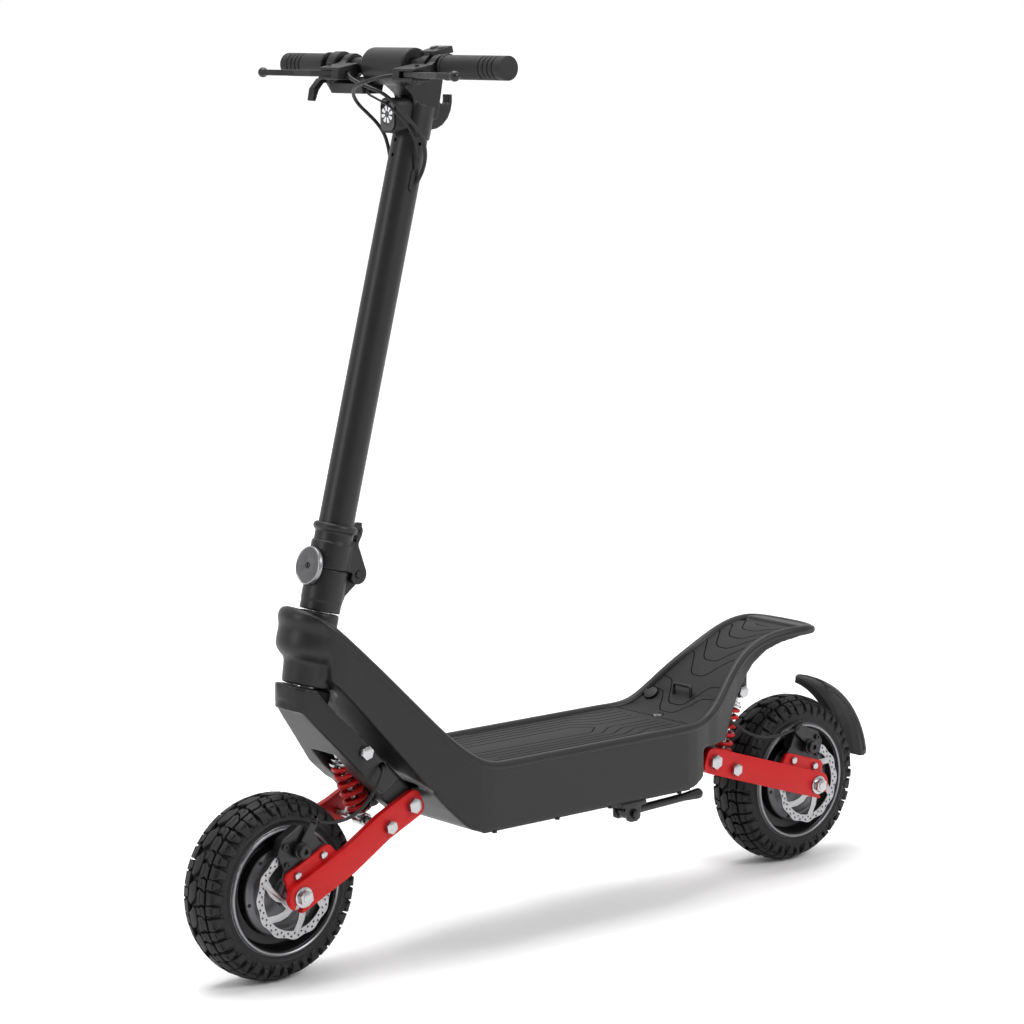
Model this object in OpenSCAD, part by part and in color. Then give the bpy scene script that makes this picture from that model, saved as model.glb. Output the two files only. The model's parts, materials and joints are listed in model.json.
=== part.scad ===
/* [Wheels] */
// Outside diameter of a tyre
tyre_d = 255; // [250:1:256]
// Half of the tyre's width
tyre_half_w = 36.6; // [34:0.1:37]
// Diameter of a brake rotor
rotor_d = 124; // [110:1:126]

/* [Suspension] */
// Length of a swing arm, from pivot to axle
arm_l = 216.6; // [215:0.1:218]
// Slope of the front arm below level
front_arm_deg = 24.8; // [24:0.1:26]
// Slope of the rear arm below level
rear_arm_deg = 17.5; // [17:0.1:18]
// Height of an arm plate
arm_h = 39; // [34:1:42]
// Thickness of an arm plate
arm_t = 9; // [6:1:9]
// Wire diameter of a coil spring
wire_d = 5; // [4:0.5:6]
// Outside diameter of the front coil spring
front_coil_d = 36; // [32:1:38]
// Outside diameter of a rear coil spring
rear_coil_d = 31; // [28:1:32]

/* [Deck and stem] */
// Half of the deck's width
deck_half_w = 98; // [96:1:99]
// Lean of the steering axis back from upright
rake = 14.24; // [14.1:0.02:14.4]
// Diameter of the stem tube
stem_d = 48; // [44:1:50]
// Full width of the handlebar
bar_w = 470; // [440:2:520]
// Diameter of the handlebar tube
bar_d = 22.2; // [22:0.1:25.4]
// Diameter of a grip
grip_d = 32; // [28:1:34]

/* [Hidden] */

fine = 72;
small = 32;
gap = 0.3;
run_fit = 0.05;
tyre_r = tyre_d / 2;

// Pivots of the swing arms, as [x, z]
front_pivot = [305.4, tyre_r + arm_l * sin(front_arm_deg)];
rear_pivot = [-263.4, tyre_r + arm_l * sin(rear_arm_deg)];
front_axle = front_pivot + arm_l * [cos(front_arm_deg), -sin(front_arm_deg)];
rear_axle = rear_pivot + arm_l * [-cos(rear_arm_deg), -sin(rear_arm_deg)];

// Arm plates: inner face near the pivot, and how far they step out to the axle
arm_y = 53;
arm_step = 13;
arm_bend_a = 56;
arm_bend_b = 132;
arm_tail = 17;
shock_hole = [46.8, -4.5];
pivot_r = 6;
bolt_r = 5;
axle_r = 6;
rod_eye_slack = 1.1;

// Lower shock eyes follow from the arms, upper ones sit in the fork and the frame
front_low_eye = front_pivot + shock_hole[0] * [cos(front_arm_deg), -sin(front_arm_deg)]
    + shock_hole[1] * [sin(front_arm_deg), cos(front_arm_deg)];
rear_low_eye = rear_pivot + shock_hole[0] * [-cos(rear_arm_deg), -sin(rear_arm_deg)]
    + shock_hole[1] * [-sin(rear_arm_deg), cos(rear_arm_deg)];
front_high_eye = [387, 304];
rear_high_eye = [-338.5, 285];
front_shock_l = norm(front_high_eye - front_low_eye);
rear_shock_l = norm(rear_high_eye - rear_low_eye);
rear_shock_y = 25;
eye_r = 9;
spring_low = 19.5;
spring_top_drop = 25.5;
coil_turns = 5;

// Steering axis: it meets the ground at stem_foot and leans back by rake
stem_foot = 539.4;
// Heights along the steering axis
h_steerer = 377;
h_fork_top = 403.5;
h_head_low = 405;
h_head_top = 506;
h_base_low = 506.8;
h_seam = 564.4;
h_block_top = 600;
h_bead = 620;
h_stem_top = 1154;
h_lamp = 1172.9;
fold_r = -37;
block_r = 28.3;
head_tube_r = 32.5;
head_top_r = 27.6;
steerer_r = 17;
bar_x = 281.6;
bar_z = 1212.8;
lever_pin_r = -37;

// Top edge of the frame seen from the side, as [x, z], from the neck to the tail
crest = [
    [484, 522], [462, 506], [446, 492.5], [429, 478], [401, 450.6], [371, 421], [336, 385],
    [306, 354], [284, 331], [264, 311.5], [248, 297], [236, 287.5], [224, 279], [212, 272],
    [200, 267], [188, 264.4], [176, 263.5], [-190, 263.5], [-198, 263.6],
    [-200, 263.7], [-208, 264],
    [-224, 267.5], [-244, 278], [-264, 294], [-284, 311.5], [-304, 327], [-324, 340.5],
    [-344, 352], [-364, 360.5], [-384, 366.6], [-404, 370.4], [-424, 372.6], [-446, 373],
    [-476, 371],
];
// Bottom edge, from the tail back to the neck
keel = [
    [-478, 361], [-440, 359], [-404, 353], [-376, 343], [-352, 328], [-330, 306],
    [-312, 284], [-296, 262], [-282, 238], [-270, 214], [-252, 196], [-226, 190],
    [-208, 178], [-190, 170], [204, 170], [222, 174], [236, 183], [262, 208], [292, 242],
    [336, 295], [366, 330], [395, 364], [424, 396], [440, 410],
];
// Half width of the frame in plan, as [x, y]
flank = [
    [473, 0], [471, 14], [464, 29], [452, 42], [436, 51], [416, 57], [394, 61], [336, 73], [292, 82], [262, 88], [236, 93],
    [214, 96.5], [190, deck_half_w], [-176, deck_half_w], [-196, 96], [-212, 92],
    [-228, 87], [-248, 83.5], [-268, 77], [-288, 70], [-308, 62.5], [-328, 57.5],
    [-348, 55], [-368, 55.5], [-388, 58], [-408, 61.5], [-428, 65], [-448, 67.5],
    [-462, 67.5], [-472, 63], [-479, 53], [-482, 38], [-482, 0],
];
rim_w = 9;
mat_drop = 3.5;
mat_t = 3;
cover_screws = [-165, -30, 70, 185];

frame_black = "#26262a";
mat_grey = "#34343a";
arm_red = "#c41c1c";
steel = "#c9c9cc";
dark = "#1c1c1e";
tyre_black = "#1a1a1a";

function flip(list) = [for (i = [len(list) - 1 : -1 : 0]) list[i]];
function shift(list, d) = [for (p = list) p + d];
// Points of a list whose x lies between two values
function between(list, low, high) = [for (p = list) if (p[0] >= low && p[0] <= high) p];
function arc(c, r, a0, a1, n) = [for (i = [0 : n]) c + r * [cos(a0 + (a1 - a0) * i / n),
                                                        sin(a0 + (a1 - a0) * i / n)]];

module on_stem(h = 0, r = 0) {
    translate([stem_foot, 0, 0]) rotate([0, -rake, 0]) translate([r, 0, h]) children();
}
module at(p, y = 0) { translate([p[0], y, p[1]]) children(); }
module rod_y(r, y0, y1, sides = fine) {
    translate([0, y0, 0]) rotate([-90, 0, 0]) cylinder(r = r, h = y1 - y0, $fn = sides);
}
module rod_x(r, x0, x1, sides = fine) {
    translate([x0, 0, 0]) rotate([0, 90, 0]) cylinder(r = r, h = x1 - x0, $fn = sides);
}
module side(points, y0, y1) {
    translate([0, y1, 0]) rotate([90, 0, 0]) linear_extrude(y1 - y0) polygon(points);
}
module slab(points, z0, z1) {
    translate([0, 0, z0]) linear_extrude(z1 - z0) polygon(points);
}
module box_y(x0, x1, y0, y1, z0, z1) {
    translate([x0, y0, z0]) cube([x1 - x0, y1 - y0, z1 - z0]);
}
module both_sides() {
    children();
    mirror([0, 1, 0]) children();
}
// Hexagon bolt head whose seat is at y0 and top at y1
module hex_y(r, y0, y1) {
    rotate([0, 15, 0]) rod_y(r, y0, y1, 6);
}
// Tube swept along a list of points, with flat ends
module sweep(path, r, sides) {
    n = len(path);
    function heading(i) = let (d = path[min(i + 1, n - 1)] - path[max(i - 1, 0)]) d / norm(d);
    function unit(v) = v / norm(v);
    function across(i) = let (t = heading(i), u = abs(t[2]) < 0.9 ? [0, 0, 1] : [1, 0, 0])
        unit(cross(t, u));
    rings = [for (i = [0 : n - 1]) let (a = across(i), b = cross(heading(i), a))
        for (k = [0 : sides - 1]) path[i] + r * (a * cos(360 * k / sides) + b * sin(360 * k / sides))];
    walls = [for (i = [0 : n - 2], k = [0 : sides - 1]) let (m = (k + 1) % sides)
        [i * sides + k, (i + 1) * sides + k, (i + 1) * sides + m, i * sides + m]];
    start_cap = [[for (k = [0 : sides - 1]) k]];
    end_cap = [[for (k = [sides - 1 : -1 : 0]) (n - 1) * sides + k]];
    polyhedron(points = rings, faces = concat(walls, start_cap, end_cap), convexity = 6);
}
// Coil spring standing on z = 0, its wire centres between wire / 2 and height - wire / 2
module coil(height, turns, outer_d, wire, sides = 6, steps = 12) {
    r = (outer_d - wire) / 2;
    count = turns * steps;
    path = [for (i = [0 : count]) [r * cos(360 * i / steps), r * sin(360 * i / steps),
                                   wire / 2 + (height - wire) * i / count]];
    function along(i) = let (a = 360 * i / steps) [-sin(a) * r, cos(a) * r,
        (height - wire) / turns / 360 * 180 / PI];
    rings = [for (i = [0 : count]) let (a = 360 * i / steps, out = [cos(a), sin(a), 0],
            t = along(i) / norm(along(i)), b = cross(t, out))
        for (k = [0 : sides - 1]) path[i] + wire / 2 * (out * cos(360 * k / sides)
                                                        + b * sin(360 * k / sides))];
    walls = [for (i = [0 : count - 1], k = [0 : sides - 1]) let (m = (k + 1) % sides)
        [i * sides + k, i * sides + m, (i + 1) * sides + m, (i + 1) * sides + k]];
    polyhedron(points = rings, convexity = 10,
        faces = concat(walls, [[for (k = [sides - 1 : -1 : 0]) k]],
                       [[for (k = [0 : sides - 1]) count * sides + k]]));
}

// ---------------------------------------------------------------- frame and deck
function plan(d) = concat([for (p = flank) p - [0, p[1] > d ? d : 0]],
                          [for (p = flip(flank)) [p[0], p[1] > d ? d - p[1] : 0]]);
// The solid inside a side outline and a plan outline
module within(outline, inset) {
    intersection() {
        side(outline, -120, 120);
        slab(plan(inset), 100, 560);
    }
}
module nose() {
    on_stem() rotate_extrude($fn = fine) polygon([
        [0, h_head_low], [head_tube_r, h_head_low], [head_tube_r, 466], [head_top_r, 470],
        [head_top_r, h_head_top], [0, h_head_top]]);
    // Lip round the head tube, cut off behind by the top edge of the neck
    intersection() {
        on_stem() rotate_extrude($fn = fine) polygon([
            [0, h_head_low], [head_tube_r, h_head_low], [35.8, 438], [40, 441], [46, 446.5],
            [50, 452.5], [50.8, 461], [50.5, 478], [52.4, 485], [54, 490], [54.2, 495],
            [53, 500], [50.4, 504], [46.5, 507], [42, 508], [40, h_head_top], [0, h_head_top]]);
        side(concat([[340, 380], [340, 389]], flip(between(crest, 365, 484)), [[484, 380]]), -70, 70);
    }
}
// Space that the fork and the arms need when they are steered, turned about the steering axis
module steering_sweep() {
    on_stem() rotate_extrude($fn = fine) polygon([
        [0, 120], [207, 120], [207, 292], [164, 309], [102, 350], [62, 378], [42, 396],
        [42, h_head_low], [0, h_head_low]]);
}
module rear_lugs() {
    side(concat(arc(rear_pivot, 19, 150, 300, 10), [[-232, 176], [-206, 176], [-200, 250],
        [-268, 250]]), -52, 52);
    // Ears that carry the upper ends of the two rear shocks
    both_sides() for (y = [rear_shock_y - 17, rear_shock_y + 13]) {
        side(concat(arc(rear_high_eye, 12, 180, 352, 10), [[-322, 322], [-350, 331]]), y, y + 4);
    }
}
module frame_shell() {
    wall = 6;
    recess = shift(crest, [0, -mat_drop - mat_t - gap / 2]);
    color(frame_black) difference() {
        union() {
            difference() {
                within(concat(crest, keel), 0);
                // Ahead of the steering axis only the lip is left
                side([[432, 380], [432, 560], [520, 560], [520, 380]], -80, 80);
                // Hollow neck, open to the battery bay
                within(concat(shift(between(crest, 220, 366), [0, -15]),
                    [[190, 242], [190, 188], [225, 188], [246, 204], [262, 225], [292, 262],
                     [330, 309], [346, 335], [364, 374]]), 7);
                // Battery bay, open at the bottom
                slab([[196, 84], [196, -84], [-176, -84], [-176, 84]], 160, 250);
                steering_sweep();
                // Room for the front ends of the rear arms
                both_sides() slab([[-241, 52], [-208, 100], [-330, 100], [-330, 52]], 150, 224);
            }
            nose();
            rear_lugs();
        }
        // Recess for the two mats
        intersection() {
            side(concat(between(recess, -446, 216), [[-446, 420], [216, 420]]), -120, 120);
            slab(plan(rim_w), 200, 560);
        }
        // Steerer bore and bearing seats
        on_stem(400) cylinder(r = steerer_r + 3, h = 120, $fn = fine);
        on_stem(h_head_low - 1) cylinder(r = 26, h = 13, $fn = fine);
        on_stem(h_head_top - 12) cylinder(r = 23, h = 13, $fn = fine);
        on_stem() rotate_extrude($fn = fine) polygon([[head_top_r, 470], [34, 466], [38, 470],
            [40.5, 480], [40.5, h_head_top + 6], [head_top_r, h_head_top + 6]]);
        // Bores of the rear pivot and the rear shock bolts
        at(rear_pivot) rod_y(pivot_r + run_fit, -60, 60);
        at(rear_high_eye) rod_y(bolt_r + run_fit, -60, 60);
        // Holes for the charging socket, the key switch and the loop's screws
        on_port() translate([0, 0, -16]) cylinder(r = 8.2, h = 40, $fn = small);
        translate([key_x, 0, 246]) cylinder(r = 7.8, h = 40, $fn = small);
        loop_feet(run_fit);
        // Cable hole in the rear wall
        translate([-298, 42.4, 253.5]) rotate([0, -116.6, 0])
            cylinder(r = 3.4, h = 60, center = true, $fn = small);
        for (x = cover_screws) both_sides()
            translate([x, 91, 160]) cylinder(r = 2.1, h = 25, $fn = small);
    }
}
module mat(low, high) {
    top = between(shift(crest, [0, -mat_drop]), low, high);
    intersection() {
        side(concat(top, flip(shift(top, [0, -mat_t]))), -120, 120);
        slab(plan(rim_w + gap), 200, 560);
    }
}
module foot_mats() {
    color(mat_grey) {
        mat(-198, 214);
        difference() {
            mat(-445, -200);
            translate([key_x, 0, 240]) cylinder(r = 9, h = 40, $fn = small);
            on_port() translate([0, 0, -16]) cylinder(r = 12, h = 40, $fn = small);
            loop_feet(gap);
        }
    }
}
module belly_cover() {
    color(frame_black) difference() {
        slab([[204, 92], [204, -92], [-186, -92], [-186, 92]], 167.6, 169.7);
        for (x = cover_screws) both_sides()
            translate([x, 91, 160]) cylinder(r = 2.1, h = 25, $fn = small);
    }
    color(steel) for (x = cover_screws) both_sides() translate([x, 91, 0]) {
        translate([0, 0, 165.4]) cylinder(r = 3.6, h = 2.2, $fn = small);
        translate([0, 0, 166]) cylinder(r = 2, h = 14, $fn = small);
    }
}
module battery_pack() {
    color("#2b5fa8") box_y(-70, 190, -72, 72, 178, 242);
}
module motor_controller() {
    color("#9a9aa0") difference() {
        box_y(-168, -84, -55, 55, 178, 226);
        for (y = [-44 : 11 : 44]) box_y(-170, -82, y - 2.5, y + 2.5, 214, 230);
    }
}
module head_bearings() {
    color(steel) for (b = [[h_head_low + 0.5, 26], [h_head_top - 11.5, 23]]) on_stem(b[0]) difference() {
        cylinder(r = b[1] - run_fit, h = 11, $fn = fine);
        translate([0, 0, -1]) cylinder(r = steerer_r + run_fit, h = 13, $fn = fine);
    }
}

// ---------------------------------------------------------------- fittings on the deck
loop_x = -256;
loop_half = 18;
port_p = [-248, 277.4];
port_y = -57;
port_tilt = 38;
key_x = -207;
module loop_feet(extra = 0) {
    both_sides() translate([loop_x, loop_half, 268]) cylinder(r = 2.5 + extra, h = 30, $fn = small);
}
module on_port() { at(port_p, port_y) rotate([0, port_tilt, 0]) children(); }
module latch_loop() {
    z = 299;
    color(dark) {
        translate([loop_x, 0, z]) rod_y(2.5, -loop_half + 3, loop_half - 3, small);
        both_sides() {
            translate([loop_x, loop_half, 272]) cylinder(r = 2.5, h = z - 275, $fn = small);
            translate([loop_x, loop_half - 3, z - 3]) rotate([0, 90, 0]) rotate([0, 0, 90])
                intersection() {
                    rotate_extrude($fn = small) translate([3, 0]) circle(r = 2.5, $fn = small);
                    translate([0, 0, -5]) cube([10, 10, 10]);
                }
        }
    }
}
module charge_socket() {
    color(dark) on_port() difference() {
        union() {
            translate([0, 0, -14]) cylinder(r = 8, h = 14, $fn = small);
            cylinder(r = 10, h = 1.5, $fn = small);
        }
        translate([0, 0, -10]) cylinder(r = 5.5, h = 14, $fn = small);
    }
}
module charge_cap() {
    color(dark) on_port() translate([0, 0, 1.8]) {
        cylinder(r = 10.5, h = 2.2, $fn = small);
        translate([-4, -15, 0]) cube([8, 8, 2.2]);
        translate([-5, -14, 1.1]) rotate([0, 90, 0]) cylinder(r = 1.1, h = 10, $fn = small);
    }
}
module key_switch() {
    color(steel) translate([key_x, 0, 250]) difference() {
        cylinder(r = 7.5, h = 11.5, $fn = small);
        translate([-1, -4, 9]) cube([2, 8, 4]);
    }
}
stand_pivot = [-74.6, 150.4];
module kickstand_bracket() {
    color(dark) difference() {
        union() {
            box_y(-98, -52, 62, 94, 161, 167.5);
            side([[-88, 162], [-60, 162], [-62, 142], [-68, 139], [-80, 139], [-86, 143]], 62, 66);
            side([[-88, 162], [-60, 162], [-62, 142], [-68, 139], [-80, 139], [-86, 143]], 90, 94);
        }
        at(stand_pivot) rod_y(4 + run_fit, 50, 100);
    }
    color(steel) at(stand_pivot) {
        rod_y(4, 57, 99);
        hex_y(7, 57.5, 61.7);
        hex_y(7, 94.3, 98.5);
    }
    color(steel) for (x = [-92, -58]) translate([x, 78, 158.7]) cylinder(r = 4, h = 2.2, $fn = small);
}
module kickstand() {
    color(dark) difference() {
        union() {
            at(stand_pivot) rod_y(10, 67, 89);
            at(stand_pivot, 78) rotate([0, -88, 0]) cylinder(r = 6, h = 118, $fn = small);
            at(stand_pivot, 78) rotate([0, -88, 0]) translate([0, 0, 112])
                cylinder(r1 = 6, r2 = 8, h = 28, $fn = small);
            at(stand_pivot, 78) rotate([0, -88, 0]) translate([0, 0, 140]) sphere(r = 8, $fn = small);
        }
        at(stand_pivot) rod_y(4 + run_fit, 50, 100);
    }
}
module rear_upper_shock_bolts() {
    color(steel) both_sides() at(rear_high_eye) {
        rod_y(bolt_r, rear_shock_y - 18, rear_shock_y + 17.2);
        hex_y(9.5, rear_shock_y + 17.2, rear_shock_y + 23);
        hex_y(9.5, rear_shock_y - 23, rear_shock_y - 17.1);
    }
}

// ---------------------------------------------------------------- fork and steering
fork_half = 62;
module fork_block() {
    top = [[452, 398], [421, 357], [384, 318], [326, 259]];
    low = [[352, 240], [364, 248], [388, 270], [420, 308], [450, 343], [470, 368], [481, 382],
        [478, 402]];
    intersection() {
        side(concat(top, low), -fork_half, fork_half);
        // Seen from above the block narrows to the crown
        slab([[482, 0], [479, 12], [473, 24], [464, 32], [452, 37], [436, 43], [412, 53],
              [390, fork_half], [300, fork_half], [300, -fork_half], [390, -fork_half],
              [412, -53], [436, -43], [452, -37], [464, -32], [473, -24], [479, -12]], 200, 420);
    }
}
module fork() {
    color(frame_black) difference() {
        union() {
            difference() {
                fork_block();
                on_stem(h_fork_top) cylinder(r = 120, h = 60, $fn = fine);
            }
            on_stem(h_fork_top - 34) cylinder(r = 35, h = 34, $fn = fine);
            side(concat(arc(front_pivot, 20, 130, 290, 12), [[345, 226], [372, 262], [340, 280],
                [322, 262]]), -51.5, 51.5);
        }
        // Room for the shock between the legs
        side([[280, 180], [280, 244], [326, 250], [372, 306], [382, 316], [392, 318], [402, 311],
              [411, 296], [404, 250], [380, 180]], -26, 26);
        // Bores
        at(front_pivot) rod_y(pivot_r + run_fit, -70, 70);
        at(front_high_eye) rod_y(bolt_r + run_fit, -70, 70);
        on_stem(h_steerer - 0.3) cylinder(r = steerer_r + run_fit, h = 60, $fn = fine);
        at([357, 281]) rod_y(5, 30, 70, small);
    }
}
module steerer() {
    color(steel) on_stem(h_steerer) difference() {
        cylinder(r = steerer_r, h = h_seam - h_steerer - 14, $fn = fine);
        translate([0, 0, -1]) cylinder(r = steerer_r - 3.5, h = 300, $fn = fine);
    }
}
knuckle_half = 13;
module fold_base() {
    color(frame_black) difference() {
        union() {
            on_stem(h_base_low) cylinder(r = head_top_r, h = 16, $fn = fine);
            on_stem(h_base_low + 14) cylinder(r = block_r, h = h_seam - h_base_low - 14 - gap, $fn = fine);
            // Rib and centre knuckle of the hinge
            on_stem() side([[-20, 522], [-27, 522], [-29, 532], [-46, 553], [-51, 562], [-20, 562]],
                -knuckle_half + gap, knuckle_half - gap);
            on_stem(h_seam, fold_r) rod_y(14, -knuckle_half + gap, knuckle_half - gap);
        }
        on_stem(h_seam, fold_r) rod_y(5 + run_fit, -40, 40);
        // Room for the head's knuckles
        on_stem(h_seam, fold_r) both_sides() rod_y(14.6, knuckle_half - gap, 40);
        on_stem(h_base_low - 1) cylinder(r = steerer_r + run_fit, h = h_seam - h_base_low - 12, $fn = fine);
    }
    color(steel) on_stem(h_seam, fold_r) rod_y(5, -23, 23);
}
module front_upper_shock_bolt() {
    color(steel) at(front_high_eye) {
        rod_y(bolt_r, -fork_half - 1, fork_half + 1);
        both_sides() hex_y(10, fork_half + 0.1, fork_half + 7);
    }
}

// ---------------------------------------------------------------- folding head and stem
module fold_head() {
    color(frame_black) difference() {
        union() {
            on_stem(h_seam + gap) cylinder(r = block_r, h = h_block_top - h_seam - gap, $fn = fine);
            on_stem(h_block_top - 1) cylinder(r = stem_d / 2 + 2, h = 16, $fn = fine);
            on_stem(h_bead) rotate_extrude($fn = fine) translate([24.2, 0]) intersection() {
                circle(r = 6, $fn = small);
                translate([-2, -6]) square([12, 12]);
            }
            // Outer knuckles of the hinge
            difference() {
                on_stem() side(concat([[-10, 574], [-10, 606], [-26, 606]], arc([fold_r, h_seam], 14,
                    150, 300, 14)), -22, 22);
                on_stem(h_seam, fold_r) rod_y(14.6, -knuckle_half, knuckle_half);
                on_stem() side([[-60, 520], [0, 520], [0, h_seam + gap], [-60, h_seam + gap]],
                    -knuckle_half, knuckle_half);
                on_stem() side([[fold_r + 11, 520], [30, 520], [30, h_seam + gap],
                    [fold_r + 11, h_seam + gap]], -30, 30);
            }
            // Ears for the locking lever
            on_stem() side([[-22, 614], [-38, 615], [-42, 622], [-38, 629], [-22, 630]], -9, -5.5);
            on_stem() side([[-22, 614], [-38, 615], [-42, 622], [-38, 629], [-22, 630]], 5.5, 9);
        }
        on_stem(h_seam - 20) cylinder(r = 15, h = 40, $fn = fine);
        on_stem(h_seam, fold_r) rod_y(14.6, -knuckle_half, knuckle_half);
        on_stem(h_seam + 19) cylinder(r = stem_d / 2 + run_fit, h = 60, $fn = fine);
        on_stem(h_seam, fold_r) rod_y(5 + run_fit, -40, 40);
        on_stem(h_bead + 2, lever_pin_r) rod_y(2.5 + run_fit, -20, 20, small);
        // Seat of the front disc
        on_stem(h_seam) rod_x(8 + run_fit, 20, 40, small);
    }
}
module latch_disc() {
    color("#7d8288") on_stem(h_seam) difference() {
        union() {
            rod_x(25, 29.2, 32.5);
            translate([32.5, 0, 0]) rotate([0, 90, 0]) cylinder(r1 = 25, r2 = 22.5, h = 2.2, $fn = fine);
            difference() {
                rod_x(8, 21, 29.5, small);
                translate([0, -10, -20]) translate([18, 0, 0]) cube([20, 20, 20 + gap]);
            }
        }
        rod_x(3, 32, 36, 6);
    }
}
module fold_lever() {
    color(dark) on_stem() difference() {
        union() {
            side([[-34, 617], [-33, 622], [-34.5, 632], [-40, 634], [-41, 628], [-43, 626], [-44, 617],
                  [-41, 606], [-44, 588], [-39, 588], [-36, 604]], -5, 5);
        }
        translate([lever_pin_r, 0, h_bead + 2]) rod_y(2.5 + run_fit, -20, 20, small);
    }
    color(steel) on_stem(h_bead + 2, lever_pin_r) rod_y(2.5, -9.5, 9.5, small);
}
module stem_tube() {
    color(frame_black) difference() {
        on_stem(h_seam + 19) cylinder(r = stem_d / 2, h = h_stem_top + 14 - h_seam - 19, $fn = fine);
        on_stem(h_seam) cylinder(r = stem_d / 2 - 2.5, h = 700, $fn = fine);
        for (h = [1145, 1124.5]) {
            on_stem(h) rod_x(2.6, 10, 40, small);
            on_stem(h) both_sides() rod_y(2.6, 10, 40, small);
        }
        on_stem(1096) both_sides() rod_y(4.6, 10, 40, small);
    }
}
module stem_grommets() {
    color(dark) on_stem(1096) both_sides() intersection() {
        difference() {
            cylinder(r = stem_d / 2 + 2.2, h = 34, center = true, $fn = fine);
            cylinder(r = stem_d / 2 + 0.05, h = 40, center = true, $fn = fine);
        }
        union() {
            rod_y(5.6, 0, 40, small);
            for (z = [-10, 10]) translate([0, 0, z]) rod_y(5.6, 0, 40, small);
            translate([-5.6, 0, -10]) cube([11.2, 40, 20]);
        }
    }
}
module bar_head() {
    color(frame_black) difference() {
        union() {
            on_stem(h_stem_top + gap) cylinder(r = stem_d / 2 + 2.2, h = 44, $fn = fine);
            side([[223, 1142], [258, 1142], [268, 1176], [294, 1196], [300, 1212], [281.6, 1232],
                  [262, 1224], [212, 1204]], -20, 20);
            translate([bar_x, 0, bar_z]) rod_y(25, -42, 45);
        }
        on_stem(h_seam) cylinder(r = stem_d / 2 + run_fit, h = h_stem_top + 14.2 - h_seam, $fn = fine);
        translate([bar_x, 0, bar_z]) rod_y(bar_d / 2 + run_fit, -60, 60);
        translate([264, 0, 0]) box_y(0, 40, -18, 18, 1120, 1173.4);
    }
    color(steel) for (y = [-30, 30]) translate([bar_x - 12, y, bar_z + 18]) {
        cylinder(r = 4, h = 6.5, $fn = small);
    }
}
module headlamp_housing() {
    color(dark) difference() {
        translate([264.6, 0, 1148]) rotate([90, 0, 90]) linear_extrude(27.4) lamp_face(17.6, 23.4);
        on_stem(1100) cylinder(r = stem_d / 2 + gap, h = h_stem_top + 14.3 - 1100, $fn = fine);
        translate([286, 0, 1148]) rotate([90, 0, 90]) linear_extrude(20) lamp_face(15, 20.8);
    }
}
module lamp_face(w, h) {
    polygon([for (q = [[1, 1], [-1, 1], [-1, -1], [1, -1]]) each arc([q[0] * (w - 10),
        q[1] * (h - 10)], 10, q == [1, 1] ? 0 : q == [-1, 1] ? 90 : q == [-1, -1] ? 180 : 270,
        q == [1, 1] ? 90 : q == [-1, 1] ? 180 : q == [-1, -1] ? 270 : 360, 6)]);
}
module headlamp_lens() {
    color("#101012") translate([286.3, 0, 1148]) rotate([90, 0, 90]) linear_extrude(8) lamp_face(14.8, 20.6);
}
module bag_hook() {
    outline = [[228, 1127], [214, 1129], [204, 1134], [195, 1143], [190, 1153], [187.8, 1164],
        [187.8, 1174.5], [193.8, 1174.5], [193.8, 1164], [196, 1161.5], [204, 1161.5],
        [209.5, 1164], [213, 1170], [224, 1170]];
    color(dark) difference() {
        side(outline, -7, 7);
        on_stem(1100) cylinder(r = stem_d / 2 + 2.25, h = 150, $fn = fine);
    }
}

// ---------------------------------------------------------------- handlebar
left_ring_y = 98;
right_ring_y = -90;
throttle_ring_y = -117;
lever_x = 322;
lever_z = 1203;
module handlebar() {
    color(dark) translate([bar_x, 0, bar_z]) difference() {
        rod_y(bar_d / 2, -bar_w / 2 + 4, bar_w / 2 - 4);
        rod_y(bar_d / 2 - 2.2, -bar_w / 2, bar_w / 2);
    }
}
module grip(y0, y1) {
    difference() {
        union() {
            rod_y(grip_d / 2, y0, y1);
            rod_y(grip_d / 2 + 1.5, y0, y0 + 4);
        }
        rod_y(bar_d / 2 + run_fit, y0 - 1, y1 - 3.8);
        for (i = [0 : 3]) translate([0, y1 - 16 - 9 * i, 0]) rotate([-90, 0, 0])
            rotate_extrude($fn = fine) translate([grip_d / 2, 0]) square([3, 2], center = true);
    }
}
module grips() {
    color("#2e2e32") translate([bar_x, 0, bar_z]) {
        grip(111, bar_w / 2);
        mirror([0, 1, 0]) grip(139, bar_w / 2);
    }
}
// Clamp ring and hinge block of one brake lever; out = 1 for the left side, -1 for the right
module lever_perch(ring_y, out) {
    x0 = bar_x;
    difference() {
        union() {
            translate([x0, 0, bar_z]) rod_y(16.5, ring_y - 6, ring_y + 6);
            side([[299, 1203], [300, 1217], [306, 1216], [334, 1211], [336, 1195], [308, 1194]],
                min(ring_y + 7 * out, ring_y - 36 * out), max(ring_y + 7 * out, ring_y - 36 * out));
            side([[284, 1200], [284, 1226], [302, 1217], [304, 1196]], ring_y - 6, ring_y + 6);
        }
        translate([x0, 0, bar_z]) rod_y(bar_d / 2 + run_fit, ring_y - 50, ring_y + 50);
        // Slot for the lever blade
        box_y(306, 340, min(ring_y - 22 * out, ring_y + 40 * out), max(ring_y - 22 * out, ring_y + 40 * out),
            lever_z - 4.4, lever_z + 4.4);
        translate([lever_x, ring_y, 1180]) cylinder(r = 3 + run_fit, h = 50, $fn = small);
        translate([318, ring_y - 38 * out, lever_z]) rod_y(2.6, -6, 6, small);
    }
    translate([lever_x, ring_y, 1192]) cylinder(r = 3, h = 25, $fn = small);
}
module lever_perches() {
    color(dark) {
        lever_perch(left_ring_y, 1);
        lever_perch(right_ring_y, -1);
    }
}
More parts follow.
